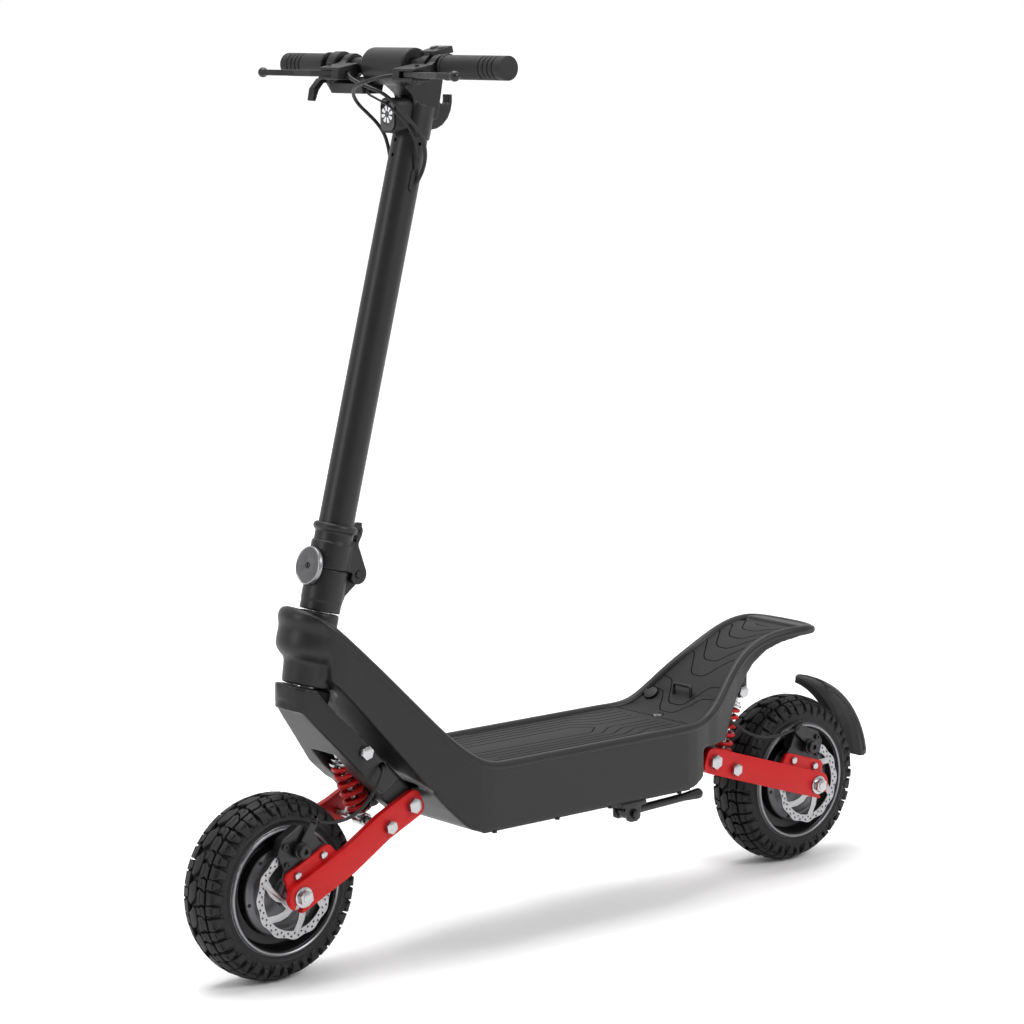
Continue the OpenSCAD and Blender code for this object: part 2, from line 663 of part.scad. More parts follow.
module brake_lever(ring_y, out) {
    blade = [[-9, -18], [9, -18], [11, 4], [15, 22], [24, 48], [31, 78], [33, 108], [24, 109],
             [21, 80], [13, 52], [1, 26], [-8, 8]];
    difference() {
        translate([lever_x, ring_y, lever_z - 4]) linear_extrude(8)
            polygon([for (p = blade) [p[0], p[1] * out]]);
        translate([lever_x, ring_y, 1180]) cylinder(r = 3 + run_fit, h = 50, $fn = small);
    }
    translate([lever_x + 28.5, ring_y + 112 * out, lever_z]) sphere(r = 7, $fn = small);
}
module left_brake_lever() { color(dark) brake_lever(left_ring_y, 1); }
module right_brake_lever() { color(dark) brake_lever(right_ring_y, -1); }

trigger_pivot = [306, 1195];
module throttle_body() {
    color(dark) difference() {
        union() {
            translate([bar_x, 0, bar_z]) rod_y(19, throttle_ring_y - 8, throttle_ring_y + 8);
            side([[276, 1176], [272, 1192], [290, 1199], [312, 1190], [308, 1176]], -105, -34);
            side([[276, 1176], [272, 1192], [290, 1199], [310, 1200], [312, 1190], [302, 1176]], -112, -104);
        }
        at(trigger_pivot) rod_y(2 + run_fit, -120, -100, small);
        translate([bar_x, 0, bar_z]) rod_y(bar_d / 2 + run_fit, -160, -20);
        translate([bar_x, 0, bar_z]) rod_y(17, -107.9, -20);
        // Room for the bar clamp
        translate([bar_x, 0, bar_z]) rod_y(25 + gap, -42 - gap, -20);
        side([[264, 1186], [270, 1204], [290, 1201.5], [288, 1198], [274, 1192]], -102, -44);
    }
    color(steel) at(trigger_pivot) rod_y(2, -127, -104, small);
}
module throttle_trigger() {
    color(dark) difference() {
        union() {
            at(trigger_pivot) rod_y(5, -126, -113, small);
            side([[306, 1190], [307, 1198], [318, 1195], [330, 1182], [333, 1166], [328, 1165],
                  [322, 1180], [314, 1189]], -126, -113);
        }
        at(trigger_pivot) rod_y(2 + run_fit, -130, -100, small);
    }
}
module on_switches() {
    translate([270, 74, 1232]) rotate([0, 14, 0]) children();
}
module switch_pod() {
    color(dark) difference() {
        union() {
            translate([bar_x, 0, bar_z]) rod_y(15.5, 68, 80);
            translate([272, 68, 1218]) cube([14, 12, 14]);
            on_switches() translate([-15, -15, -4]) cube([30, 32, 9]);
        }
        translate([bar_x, 0, bar_z]) rod_y(bar_d / 2 + run_fit, 50, 110);
        on_switches() for (y = [-7, 9]) translate([-3, y, 1]) cylinder(r = 5.3, h = 10, $fn = small);
    }
}
module button(y) { on_switches() translate([-3, y, 2.6]) cylinder(r = 5, h = 4.4, $fn = small); }
module horn_button() { color(dark) button(-7); }
module light_button() { color("#50555c") button(9); }

// Cables of the two brakes and the two controls, each from its lever to the stem
right_brake_route = [[318, -55, 1203], [318, -52.4, 1203], [322, -48, 1202], [328, -36, 1198], [331, -16, 1192],
    [327, 6, 1185], [318, 20, 1178], [306, 29, 1166], [292, 34, 1150], [278, 37, 1135],
    [266, 38, 1120], [260, 37, 1105], [258, 35, 1090], [260, 32, 1075], [264, 29, 1064],
    [268, 25.6, 1056]];
left_brake_route = [[318, 63, 1203], [318, 60.4, 1203], [326, 54, 1202], [337, 40, 1199], [344, 20, 1194],
    [344, -4, 1187], [334, -22, 1176], [318, -32, 1163], [300, -35, 1150], [283, -37, 1137],
    [270, -38, 1122], [264, -37, 1105], [263, -34, 1088], [265, -29, 1073], [269, -25.6, 1062]];
throttle_route = [[298, -33, 1184], [308, -26, 1181], [317, -10, 1176], [317, 8, 1170],
    [308, 22, 1161], [296, 27, 1148], [282, 29, 1134], [272, 30, 1116], [268, 29.6, 1098],
    [268, 28.4, 1084], [268, 25.6, 1075]];
module bar_cables() {
    color(dark) {
        sweep(right_brake_route, 2.5, 8);
        sweep(left_brake_route, 2.5, 8);
        sweep(throttle_route, 1.6, 8);
    }
}

// ---------------------------------------------------------------- swing arms
module on_front_arm() { at(front_pivot) rotate([0, front_arm_deg, 0]) children(); }
module on_rear_arm() { at(rear_pivot) mirror([1, 0, 0]) rotate([0, rear_arm_deg, 0]) children(); }
tab_bolts = [[160, 28], [208, 27]];
module arm_plate() {
    end_r = 21.5;
    half = arm_h / 2;
    difference() {
        intersection() {
            side(concat([[-arm_tail, -half + 10], [-arm_tail + 3, -half + 4], [-arm_tail + 8, -half + 1], [-arm_tail + 14, -half]],
                arc([arm_l, 0], end_r, -66, 66, 14), [[-arm_tail + 14, half], [-arm_tail + 8, half - 1],
                [-arm_tail + 3, half - 4], [-arm_tail, half - 10]]), 0, 120);
            slab([[-40, arm_y], [arm_bend_a, arm_y], [arm_bend_b, arm_y + arm_step], [280, arm_y + arm_step],
                [280, arm_y + arm_step + arm_t], [arm_bend_b - 2, arm_y + arm_step + arm_t],
                [arm_bend_a - 2, arm_y + arm_t], [-40, arm_y + arm_t]], -60, 60);
        }
        rod_y(pivot_r + run_fit, 0, 120);
        translate([shock_hole[0], 0, shock_hole[1]]) rod_y(bolt_r + run_fit, 0, 120);
        // Dropout slot, open at the end
        translate([arm_l, 0, 0]) rod_y(axle_r + run_fit, 0, 120);
        translate([arm_l, 0, 0]) rotate([0, 40, 0]) box_y(0, 50, 50, 100, -axle_r - run_fit, axle_r + run_fit);
    }
}
module caliper_tab() {
    difference() {
        side([[138, 14], [144, 33], [150, 37], [220, 37], [226, 33], [228, 14]], arm_y + arm_step - 5,
            arm_y + arm_step + 0.01);
        for (b = tab_bolts) translate([b[0], 0, b[1]]) rod_y(3 + run_fit, 0, 120, small);
        translate([arm_l, 0, 0]) rod_y(17, 0, 120);
    }
}
module arms() {
    color(arm_red) {
        union() {
            arm_plate();
            caliper_tab();
        }
        mirror([0, 1, 0]) arm_plate();
    }
}
module front_arms() { on_front_arm() arms(); }
module rear_arms() { on_rear_arm() arms(); }
module fasteners() {
    outer = arm_y + arm_t;
    wheel_outer = outer + arm_step;
    color(steel) {
        rod_y(pivot_r, -outer - 1, outer + 1);
        both_sides() hex_y(11, outer + 0.1, outer + 7);
        translate([shock_hole[0], 0, shock_hole[1]]) {
            rod_y(bolt_r, -outer - 1, outer + 1);
            both_sides() hex_y(9.5, outer + 0.1, outer + 6.5);
        }
        translate([arm_l, 0, 0]) {
            rod_y(axle_r, -wheel_outer - 10, wheel_outer + 10);
            // Spacers between the wheel and the arms
            rod_y(10, rotor_y + rotor_t + 2.5, wheel_outer - arm_t - 0.1);
            rod_y(10, -wheel_outer + arm_t + 0.1, -41.5);
            both_sides() {
                rod_y(14, wheel_outer + 0.1, wheel_outer + 2.1);
                hex_y(11, wheel_outer + 2.2, wheel_outer + 9);
            }
        }
        for (b = tab_bolts) translate([b[0], 0, b[1]]) {
            rod_y(3, rotor_y + rotor_t + 2.6, arm_y + arm_step + 1, small);
            hex_y(5.5, arm_y + arm_step + 0.1, arm_y + arm_step + 4);
        }
    }
}
module front_fasteners() { on_front_arm() fasteners(); }
module rear_fasteners() { on_rear_arm() fasteners(); }

// Brake caliper, in the arm's own frame; the rotor runs through its slot
rotor_y = 53;
rotor_t = 2;
cam_p = [188, 54];
module caliper() {
    color(dark) difference() {
        union() {
            side([[150, 20], [148, 34], [154, 46], [157, 70], [170, 82], [204, 80], [219, 67],
                  [220, 36], [217, 20]], arm_y + arm_step - 10, arm_y + arm_step - 5.2);
            side([[156, 46], [160, 69], [172, 80], [203, 78], [216, 65], [214, 40], [172, 36]],
                41, arm_y + arm_step - 6);
        }
        translate([arm_l, 0, 0]) rod_y(rotor_d / 2 + 2, rotor_y - 2.2, rotor_y + rotor_t + 2.2);
        translate([arm_l, 0, 0]) rod_y(31, 30, 80);
        for (b = tab_bolts) translate([b[0], 0, b[1]]) rod_y(3 + run_fit, 0, 120, small);
    }
    color(steel) for (y = [rotor_y - 1.9, rotor_y + rotor_t + 0.4]) difference() {
        translate([188, 0, 52]) rod_y(9, y, y + 1.5, small);
    }
}
module caliper_arm() {
    y0 = arm_y + arm_step - 4.8;
    color(dark) {
        translate([cam_p[0], 0, cam_p[1]]) rod_y(9, y0, y0 + 8, small);
        side([[180, 56], [186, 63], [158, 80], [150, 76], [152, 69]], y0 + 2, y0 + 6);
    }
}
module front_caliper() { on_front_arm() caliper(); }
module rear_caliper() { on_rear_arm() caliper(); }
module front_caliper_arm() { on_front_arm() caliper_arm(); }
module rear_caliper_arm() { on_rear_arm() caliper_arm(); }

// Brake cables between the sprung and the unsprung side
front_cable_route = [[357, 58, 281], [360, 66, 279], [368, 72, 270], [384, 74, 249], [400, 73, 233],
    [418, 70, 222], [438, 67, 218], [458, 66, 220], [468, 65, 222]];
rear_cable_route = [[-280, 41.5, 262.5], [-291, 42, 257], [-304, 43, 250], [-318, 46, 240], [-336, 52, 226],
    [-356, 58, 216], [-374, 62, 213], [-392, 64, 213], [-410, 65, 215], [-425, 65, 217.5]];
module front_brake_cable() { color(dark) sweep(front_cable_route, 2.3, 8); }
module rear_brake_cable() { color(dark) sweep(rear_cable_route, 2.3, 8); }

module rear_fender() {
    // Cuts one end of the skin to a round tongue
    module end_trim() {
        translate([0, 0, 60]) linear_extrude(160) polygon([[17, 0], [16.4, -14], [14, -22],
            [9, -29], [1, -34], [-8, -36.5], [-8, -70], [150, -70], [150, 70], [-8, 70],
            [-8, 36.5], [1, 34], [9, 29], [14, 22], [16.4, 14]]);
    }
    skin = [[147, -35], [152, -33.5], [156, -28], [158.4, -18], [159.4, 0], [158.4, 18],
            [156, 28], [152, 33.5], [147, 35]];
    color(dark) {
        difference() {
            intersection() {
                at(rear_axle) rotate([90, 0, 0]) rotate_extrude($fn = 180)
                    polygon(concat(skin, flip([for (p = skin) p - [2.6, p[1] * 0.06]])));
                at(rear_axle) side([[0, 0], [-60, 330], [-330, 330], [-330, 16]], -60, 60);
            }
            at(rear_axle) rotate([0, -24, 0]) end_trim();
            at(rear_axle) rotate([0, -80, 0]) mirror([1, 0, 0]) end_trim();
        }
        difference() {
            at(rear_axle) side([[48, 10], [36, -2], [24, 8], [8, 30], [-122, 68], [-132, 66],
                [-137, 75], [-128, 82], [14, 46]], -49, -45);
            at(rear_axle) rod_y(25, -60, 60);
        }
        // Foot on the arm and foot under the fender
        on_rear_arm() translate([arm_l - 40, 0, 0]) rod_y(7, -arm_y - arm_step + 0.05, -45, small);
        at(rear_axle + [-129, 74]) rod_y(5, -49, -31, small);
    }
}

// ---------------------------------------------------------------- shock absorbers
// Each is drawn standing on its lower eye, then laid on the line between its two eyes
module on_shock(low, high) {
    lean = atan2(high[0] - low[0], high[1] - low[1]);
    at(low) rotate([0, lean, 0]) children();
}
module shock_body(l, coil_d) {
    seat_r = coil_d / 2 + 0.5;
    color(steel) difference() {
        union() {
            translate([0, 0, l]) rod_y(eye_r, -11, 11, small);
            translate([0, 0, l - 22]) cylinder(r = 9, h = 18, $fn = small);
            translate([0, 0, l - spring_top_drop]) cylinder(r = seat_r, h = 4, $fn = small);
            translate([0, 0, l - spring_top_drop + 5]) cylinder(r = 14, h = 4, $fn = small);
            translate([0, 0, 62]) cylinder(r = 8, h = l - 72, $fn = small);
        }
        translate([0, 0, l]) rod_y(bolt_r + run_fit, -20, 20);
        translate([0, 0, 50]) cylinder(r = 5 + run_fit, h = l - 50 - 16, $fn = small);
    }
}
module shock_rod(coil_d) {
    seat_r = coil_d / 2 + 0.5;
    color(steel) difference() {
        union() {
            rod_y(eye_r, -11, 11, small);
            translate([0, 0, 5]) cylinder(r = 7, h = 10, $fn = small);
            translate([0, 0, spring_low - 5]) cylinder(r = seat_r, h = 4.9, $fn = small);
            translate([0, 0, 12]) cylinder(r = 5, h = 72, $fn = small);
        }
        rod_y(bolt_r + rod_eye_slack, -20, 20);
    }
}
module shock_spring(l, coil_d) {
    color(arm_red) translate([0, 0, spring_low]) coil(l - spring_top_drop - spring_low - 0.1,
        coil_turns, coil_d, wire_d);
}
module front_shock_body() { on_shock(front_low_eye, front_high_eye) shock_body(front_shock_l, front_coil_d); }
module front_shock_rod() { on_shock(front_low_eye, front_high_eye) shock_rod(front_coil_d); }
module front_spring() { on_shock(front_low_eye, front_high_eye) shock_spring(front_shock_l, front_coil_d); }
module rear_shocks() {
    for (y = [-rear_shock_y, rear_shock_y]) translate([0, y, 0])
        on_shock(rear_low_eye, rear_high_eye) children();
}
module rear_shock_bodies() { rear_shocks() shock_body(rear_shock_l, rear_coil_d); }
module rear_shock_rods() { rear_shocks() shock_rod(rear_coil_d); }
module rear_springs() { rear_shocks() shock_spring(rear_shock_l, rear_coil_d); }

// ---------------------------------------------------------------- wheels
module on_wheel(axle) { at(axle) rotate([90, 0, 0]) children(); }
module tyre(axle) {
    w = tyre_half_w;
    half = [[84.3, w - 3.2], [91.6, w - 2.6], [100, w], [108, w], [115, w - 3], [120.5, w - 9],
            [tyre_r - 3.2, 17], [tyre_r - 0.8, 9], [tyre_r, 0]];
    inner = [[84.3, w - 11], [92, w - 9], [104, w - 7.5], [111, w - 12], [116, 14], [117.5, 0]];
    color(tyre_black) on_wheel(axle) rotate_extrude($fn = 120) polygon(concat(half,
        [for (i = [len(half) - 2 : -1 : 0]) [half[i][0], -half[i][1]]],
        [for (p = inner) [p[0], -p[1]]], [for (i = [len(inner) - 2 : -1 : 0]) inner[i]]));
}
module hub_motor(axle) {
    half = [[axle_r + run_fit, 41], [17, 41], [20, 35], [54, 33], [62, 29], [63, 12], [76, 12],
            [76, 30], [80, 38.7], [90.8, 38.7], [90.8, 34.3], [84, 33.6]];
    color("#3a3a3e") on_wheel(axle)
        rotate_extrude($fn = 120) polygon(concat(half, [for (p = flip(half)) [p[0], -p[1]]]));
}
// Brake rotor: waved ring, swept arms and a bolted hub
module rotor(axle) {
    r = rotor_d / 2;
    hub = 17;
    color(steel) translate([0, rotor_y + rotor_t, 0]) on_wheel(axle) difference() {
        linear_extrude(rotor_t) difference() {
            polygon([for (a = [0 : 3 : 357]) (r - 1.3 + 1.3 * cos(a * 12)) * [cos(a), sin(a)]]);
            difference() {
                circle(r = r - 12.4, $fn = fine);
                circle(r = hub + 5, $fn = fine);
                for (i = [0 : 5]) rotate(60 * i) polygon([[hub, -9], [30, -5], [40, 4], [48, 17],
                    [43, 27], [35, 14], [27, 6], [hub, 2]]);
            }
            circle(r = hub - 9, $fn = fine);
            for (i = [0 : 29]) rotate(12 * i) translate([r - 4.6, 0]) circle(r = 1.5, $fn = 16);
            for (i = [0 : 29]) rotate(12 * i + 6) translate([r - 8.8, 0]) circle(r = 1.4, $fn = 16);
        }
    }
    color(steel) on_wheel(axle) for (i = [0 : 5]) rotate([0, 0, 60 * i + 20])
        translate([13.5, 0, -rotor_y - rotor_t - 1.5]) cylinder(r = 2.6, h = 1.5, $fn = 16);
    // Carrier between the hub and the rotor
    color(steel) on_wheel(axle) translate([0, 0, -rotor_y + 0.02]) difference() {
        cylinder(r = hub + 3, h = rotor_y - 41.1, $fn = fine);
        translate([0, 0, -1]) cylinder(r = 8.2, h = 20, $fn = fine);
    }
}
module front_tyre() { tyre(front_axle); }
module front_hub_motor() { hub_motor(front_axle); }
module front_rotor() { rotor(front_axle); }
module rear_tyre() { tyre(rear_axle); }
module rear_hub_motor() { hub_motor(rear_axle); }
module rear_rotor() { rotor(rear_axle); }

frame_shell();
foot_mats();
belly_cover();
battery_pack();
motor_controller();
head_bearings();
latch_loop();
charge_socket();
charge_cap();
key_switch();
kickstand_bracket();
kickstand();
rear_upper_shock_bolts();
rear_brake_cable();
fork();
steerer();
fold_base();
front_upper_shock_bolt();
fold_head();
stem_tube();
latch_disc();
fold_lever();
bar_head();
headlamp_housing();
headlamp_lens();
handlebar();
grips();
lever_perches();
throttle_body();
throttle_trigger();
switch_pod();
horn_button();
light_button();
left_brake_lever();
right_brake_lever();
bag_hook();
stem_grommets();
bar_cables();
front_arms();
front_fasteners();
front_caliper();
front_caliper_arm();
front_brake_cable();
front_shock_body();
front_shock_rod();
front_spring();
front_tyre();
front_hub_motor();
front_rotor();
rear_arms();
rear_fasteners();
rear_caliper();
rear_caliper_arm();
rear_fender();
rear_shock_bodies();
rear_shock_rods();
rear_springs();
rear_tyre();
rear_hub_motor();
rear_rotor();
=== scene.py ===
import json
import math
import random

import bmesh
import bpy
import numpy as np
from mathutils import Matrix, Vector
from mathutils.bvhtree import BVHTree


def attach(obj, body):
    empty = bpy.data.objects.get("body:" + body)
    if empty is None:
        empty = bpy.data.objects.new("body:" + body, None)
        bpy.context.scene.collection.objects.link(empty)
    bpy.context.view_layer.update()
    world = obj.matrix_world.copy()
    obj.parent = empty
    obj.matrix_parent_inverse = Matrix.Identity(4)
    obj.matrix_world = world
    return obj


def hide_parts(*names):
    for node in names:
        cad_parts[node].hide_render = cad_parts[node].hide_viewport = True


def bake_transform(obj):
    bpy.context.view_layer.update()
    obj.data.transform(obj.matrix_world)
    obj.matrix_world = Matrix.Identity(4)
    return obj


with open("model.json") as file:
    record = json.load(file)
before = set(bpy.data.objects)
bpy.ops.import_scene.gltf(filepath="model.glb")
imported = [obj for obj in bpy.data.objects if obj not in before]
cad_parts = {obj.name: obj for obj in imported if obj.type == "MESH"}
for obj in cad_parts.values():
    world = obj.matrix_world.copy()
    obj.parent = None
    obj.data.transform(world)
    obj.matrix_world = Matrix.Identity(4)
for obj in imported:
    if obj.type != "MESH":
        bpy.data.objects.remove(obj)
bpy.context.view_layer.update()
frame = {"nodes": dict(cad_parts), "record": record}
nodes = frame["nodes"]
node_body = {n: b for b, names in frame["record"]["behaviour"]["bodies"].items() for n in names}
node_slot = {s["node"]: s["material_slot"] for s in frame["record"]["subparts"]}
MM = 0.001


# ---------------------------------------------------------------- materials
def material(name, colour, rough, metal=0.0, vary=0.25, grain=900.0, grain_depth=0.08, wave=40.0,
             rough_vary=0.06, coat=0.0, coat_rough=0.2, stretch=(1, 1, 1), spec=0.5):
    """A surface with broad colour drift, fine grain in its relief and an uneven gloss."""
    m = bpy.data.materials.new(name)
    m.use_nodes = True
    t = m.node_tree
    p = t.nodes["Principled BSDF"]
    where = t.nodes.new("ShaderNodeTexCoord")
    scale = t.nodes.new("ShaderNodeMapping")
    scale.inputs["Scale"].default_value = stretch
    t.links.new(where.outputs["Object"], scale.inputs["Vector"])

    def noise(size, detail=3.0):
        n = t.nodes.new("ShaderNodeTexNoise")
        n.inputs["Scale"].default_value = size
        n.inputs["Detail"].default_value = detail
        t.links.new(scale.outputs["Vector"], n.inputs["Vector"])
        return n

    broad, fine = noise(wave), noise(grain, 2.0)
    ramp = t.nodes.new("ShaderNodeValToRGB")
    low = [c * (1 - vary) for c in colour]
    high = [min(1, c * (1 + vary)) for c in colour]
    ramp.color_ramp.elements[0].position = 0.3
    ramp.color_ramp.elements[1].position = 0.7
    ramp.color_ramp.elements[0].color = (*low, 1)
    ramp.color_ramp.elements[1].color = (*high, 1)
    mix = t.nodes.new("ShaderNodeMix")
    mix.inputs["Factor"].default_value = 0.35
    t.links.new(broad.outputs["Fac"], mix.inputs["A"])
    t.links.new(fine.outputs["Fac"], mix.inputs["B"])
    t.links.new(mix.outputs["Result"], ramp.inputs["Fac"])
    t.links.new(ramp.outputs["Color"], p.inputs["Base Color"])
    gloss = t.nodes.new("ShaderNodeMapRange")
    gloss.inputs["To Min"].default_value = max(0.02, rough - rough_vary)
    gloss.inputs["To Max"].default_value = min(1, rough + rough_vary)
    t.links.new(mix.outputs["Result"], gloss.inputs["Value"])
    t.links.new(gloss.outputs["Result"], p.inputs["Roughness"])
    bump = t.nodes.new("ShaderNodeBump")
    bump.inputs["Strength"].default_value = grain_depth
    bump.inputs["Distance"].default_value = 0.0004
    t.links.new(fine.outputs["Fac"], bump.inputs["Height"])
    t.links.new(bump.outputs["Normal"], p.inputs["Normal"])
    p.inputs["Metallic"].default_value = metal
    p.inputs["Coat Weight"].default_value = coat
    p.inputs["Coat Roughness"].default_value = coat_rough
    p.inputs["Specular IOR Level"].default_value = spec
    return m


FINISHES = {
    "frame_paint": dict(colour=(0.0075, 0.0075, 0.008), rough=0.41, vary=0.12, grain=1500, grain_depth=0.09, spec=0.33),
    "deck_rubber": dict(colour=(0.013, 0.013, 0.0135), rough=0.66, vary=0.18, grain=1100, grain_depth=0.25,
                        spec=0.26),
    "battery_wrap": dict(colour=(0.03, 0.09, 0.30), rough=0.4, grain=400),
    "alloy": dict(colour=(0.45, 0.45, 0.46), rough=0.42, metal=0.9, grain=700),
    "steel": dict(colour=(0.42, 0.42, 0.43), rough=0.25, metal=1.0, vary=0.08, grain=600, grain_depth=0.04,
                  rough_vary=0.05),
    "dark_steel": dict(colour=(0.009, 0.009, 0.0095), rough=0.30, metal=0.2, grain=900, vary=0.2, spec=0.45),
    "dark_plastic": dict(colour=(0.008, 0.008, 0.0085), rough=0.45, vary=0.15, grain=1300, grain_depth=0.16,
                         spec=0.33),
    "cable_rubber": dict(colour=(0.005, 0.005, 0.0055), rough=0.42, grain=1000, spec=0.35),
    "brushed_alloy": dict(colour=(0.13, 0.13, 0.135), rough=0.32, metal=0.9, vary=0.15, grain=300,
                          grain_depth=0.12, stretch=(1, 1, 14)),
    "lamp_lens": dict(colour=(0.008, 0.008, 0.009), rough=0.10, coat=0.6, coat_rough=0.05, grain_depth=0.0),
    "grip_rubber": dict(colour=(0.009, 0.009, 0.0095), rough=0.6, grain=1400, grain_depth=0.3, vary=0.2, spec=0.3),
    "black_alloy": dict(colour=(0.010, 0.010, 0.0105), rough=0.34, metal=0.2, grain=1100, vary=0.15, spec=0.4),
    "button_plastic": dict(colour=(0.02, 0.02, 0.021), rough=0.4, grain=1200),
    "grey_plastic": dict(colour=(0.05, 0.055, 0.06), rough=0.45),
    "red_paint": dict(colour=(0.42, 0.0042, 0.005), rough=0.40, vary=0.06, grain=1200, grain_depth=0.05, coat=0.06,
                      coat_rough=0.3, spec=0.20),
    "tyre": dict(colour=(0.0075, 0.0075, 0.0078), rough=0.60, vary=0.3, grain=700, grain_depth=0.35, wave=60,
                 spec=0.32),
    "rim_lip": dict(colour=(0.24, 0.24, 0.25), rough=0.33, metal=0.85, vary=0.08, grain=900, grain_depth=0.05),
    # Painted shade: a near-black, almost unreflective colour for the mat lines, standing in for the shade inside the
    # mat's grooves
    "painted_groove_shade": dict(colour=(0.0015, 0.0015, 0.0015), rough=0.8, spec=0.05),
    "reflector": dict(colour=(0.85, 0.86, 0.88), rough=0.15, metal=1.0, vary=0.03, grain_depth=0.0),
    "rotor_steel": dict(colour=(0.36, 0.36, 0.37), rough=0.36, metal=1.0, vary=0.06, grain=800, grain_depth=0.06),
    "motor_cover": dict(colour=(0.12, 0.12, 0.125), rough=0.40, metal=0.8, vary=0.10, grain=900),
}
MATERIALS = {name: material(name, **finish) for name, finish in FINISHES.items()}
for name, o in nodes.items():
    o.data.materials.clear()
    o.data.materials.append(MATERIALS["dark_steel" if name == "head_bearings" else node_slot[name]])


# ---------------------------------------------------------------- mesh helpers
def linked(name, data):
    """A new object in the scene."""
    o = bpy.data.objects.new(name, data)
    bpy.context.scene.collection.objects.link(o)
    return o


def made(name, verts, faces, mat, body, replaces=(), smooth=True):
    """A new piece from vertices in metres, riding on a body."""
    mesh = bpy.data.meshes.new(name)
    mesh.from_pydata([tuple(v) for v in verts], [], faces)
    mesh.update()
    return dress(linked(name, mesh), mat, body, replaces, smooth)


def dress(o, mat, body, replaces=(), smooth=True):
    """Gives a piece its material and body and hides the CAD nodes it stands for; a piece given no body is left
    unattached.
    """
    o.data.materials.clear()
    o.data.materials.append(MATERIALS[mat])
    for f in o.data.polygons:
        f.use_smooth = smooth
    if body:
        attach(o, body)
    if replaces:
        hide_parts(*replaces)
    return o


def copied(node, name):
    """A free copy of a CAD node's mesh, welded."""
    mesh = nodes[node].data.copy()
    mesh.name = name
    o = linked(name, mesh)
    b = bmesh.new()
    b.from_mesh(mesh)
    bmesh.ops.remove_doubles(b, verts=b.verts, dist=2e-6)
    b.to_mesh(mesh)
    b.free()
    if "custom_normal" in mesh.attributes:
        mesh.attributes.remove(mesh.attributes["custom_normal"])
    return o


def bake(o):
    """Applies an object's modifiers."""
    dg = bpy.context.evaluated_depsgraph_get()
    mesh = bpy.data.meshes.new_from_object(o.evaluated_get(dg), depsgraph=dg)
    o.modifiers.clear()
    old = o.data
    o.data = mesh
    bpy.data.meshes.remove(old)


def rounded(node, voxel, passes, keep):
    """A CAD node with cast, rounded edges: remeshed at voxel mm, smoothed, then thinned to a share of its faces."""
    o = copied(node, node + "_cast")
    m = o.modifiers.new("remesh", "REMESH")
    m.mode = "VOXEL"
    m.voxel_size = voxel * MM
    s = o.modifiers.new("smooth", "SMOOTH")
    s.factor = 0.5
    s.iterations = passes
    d = o.modifiers.new("thin", "DECIMATE")
    d.ratio = keep
    bake(o)
    dress(o, node_slot[node], node_body[node], [node])


def bevelled(node, width, segments=2, mat=None):
    """A CAD node with machined, slightly broken edges of a width in millimetres."""
    o = copied(node, node + "_edge")
    b = bmesh.new()
    b.from_mesh(o.data)
    bmesh.ops.dissolve_limit(b, angle_limit=math.radians(0.6), verts=b.verts, edges=b.edges)
    b.to_mesh(o.data)
    b.free()
    v = o.modifiers.new("edge", "BEVEL")
    v.width = width * MM
    v.segments = segments
    v.limit_method = "ANGLE"
    v.angle_limit = math.radians(32)
    v.use_clamp_overlap = True
    v.miter_outer = "MITER_ARC"
    bake(o)
    dress(o, mat or node_slot[node], node_body[node], [node])
    o.data.set_sharp_from_angle(angle=math.radians(40))


rounded("frame_shell", 2.2, 14, 0.6)
rounded("fork", 1.8, 16, 0.6)
for n in ("fold_base", "fold_head", "bar_head"):
    rounded(n, 1.2, 5, 0.5)
for n in ("bag_hook", "lever_perches", "throttle_body", "throttle_trigger", "front_caliper", "rear_caliper",
          "kickstand", "fold_lever"):
    rounded(n, 0.8, 3, 0.5)
for n in ("front_caliper_arm", "rear_caliper_arm", "left_brake_lever", "right_brake_lever", "latch_loop"):
    rounded(n, 0.7, 4, 0.6)
rounded("rear_fender", 0.9, 3, 0.5)
for n in ("front_arms", "rear_arms"):
    bevelled(n, 1.2, 3)
for n in ("front_fasteners", "rear_fasteners", "front_upper_shock_bolt", "rear_upper_shock_bolts",
          "headlamp_housing", "grips", "front_shock_body", "front_shock_rod", "rear_shock_bodies",
          "rear_shock_rods", "latch_disc", "charge_cap", "horn_button", "light_button", "key_switch",
          "foot_mats", "switch_pod", "kickstand_bracket"):
    bevelled(n, 0.5)
for n in ("front_rotor", "rear_rotor"):
    bevelled(n, 0.25, 2, mat="rotor_steel")

# ---------------------------------------------------------------- detailed pieces
JOINT = {j["name"]: j for j in frame["record"]["behaviour"]["joints"]}
# The steering axis: the frame that has it as Z and its foot on the ground as origin
STEERING = JOINT["steering_turn"]
STEM = Matrix.Translation(STEERING["pos_m"]) @ Matrix.Rotation(math.asin(STEERING["axis"][0]), 4, "Y")
# Lower shock eye in an arm's own frame, in millimetres from the pivot
SHOCK_HOLE = (46.8, -4.5)


def arm_slope(end):
    """Slope of a swing arm below level, in radians, from its pivot and its axle."""
    pivot, axle = (JOINT[end + joint]["pos_m"] for joint in ("_suspension", "_wheel_spin"))
    return math.atan2(pivot[2] - axle[2], abs(axle[0] - pivot[0]))


def arm_matrix(end):
    """The arm's own frame: X from the pivot to the axle, Y to the left, Z up, in metres."""
    turn = Matrix.Rotation(arm_slope(end), 4, "Y")
    if end == "rear":
        turn = Matrix.Scale(-1, 4, (1, 0, 0)) @ turn
    return Matrix.Translation(JOINT[end + "_suspension"]["pos_m"]) @ turn


def tidy_normals(o):
    """Turns every face of a closed piece outward."""
    b = bmesh.new()
    b.from_mesh(o.data)
    bmesh.ops.recalc_face_normals(b, faces=b.faces)
    b.to_mesh(o.data)
    b.free()
    return o


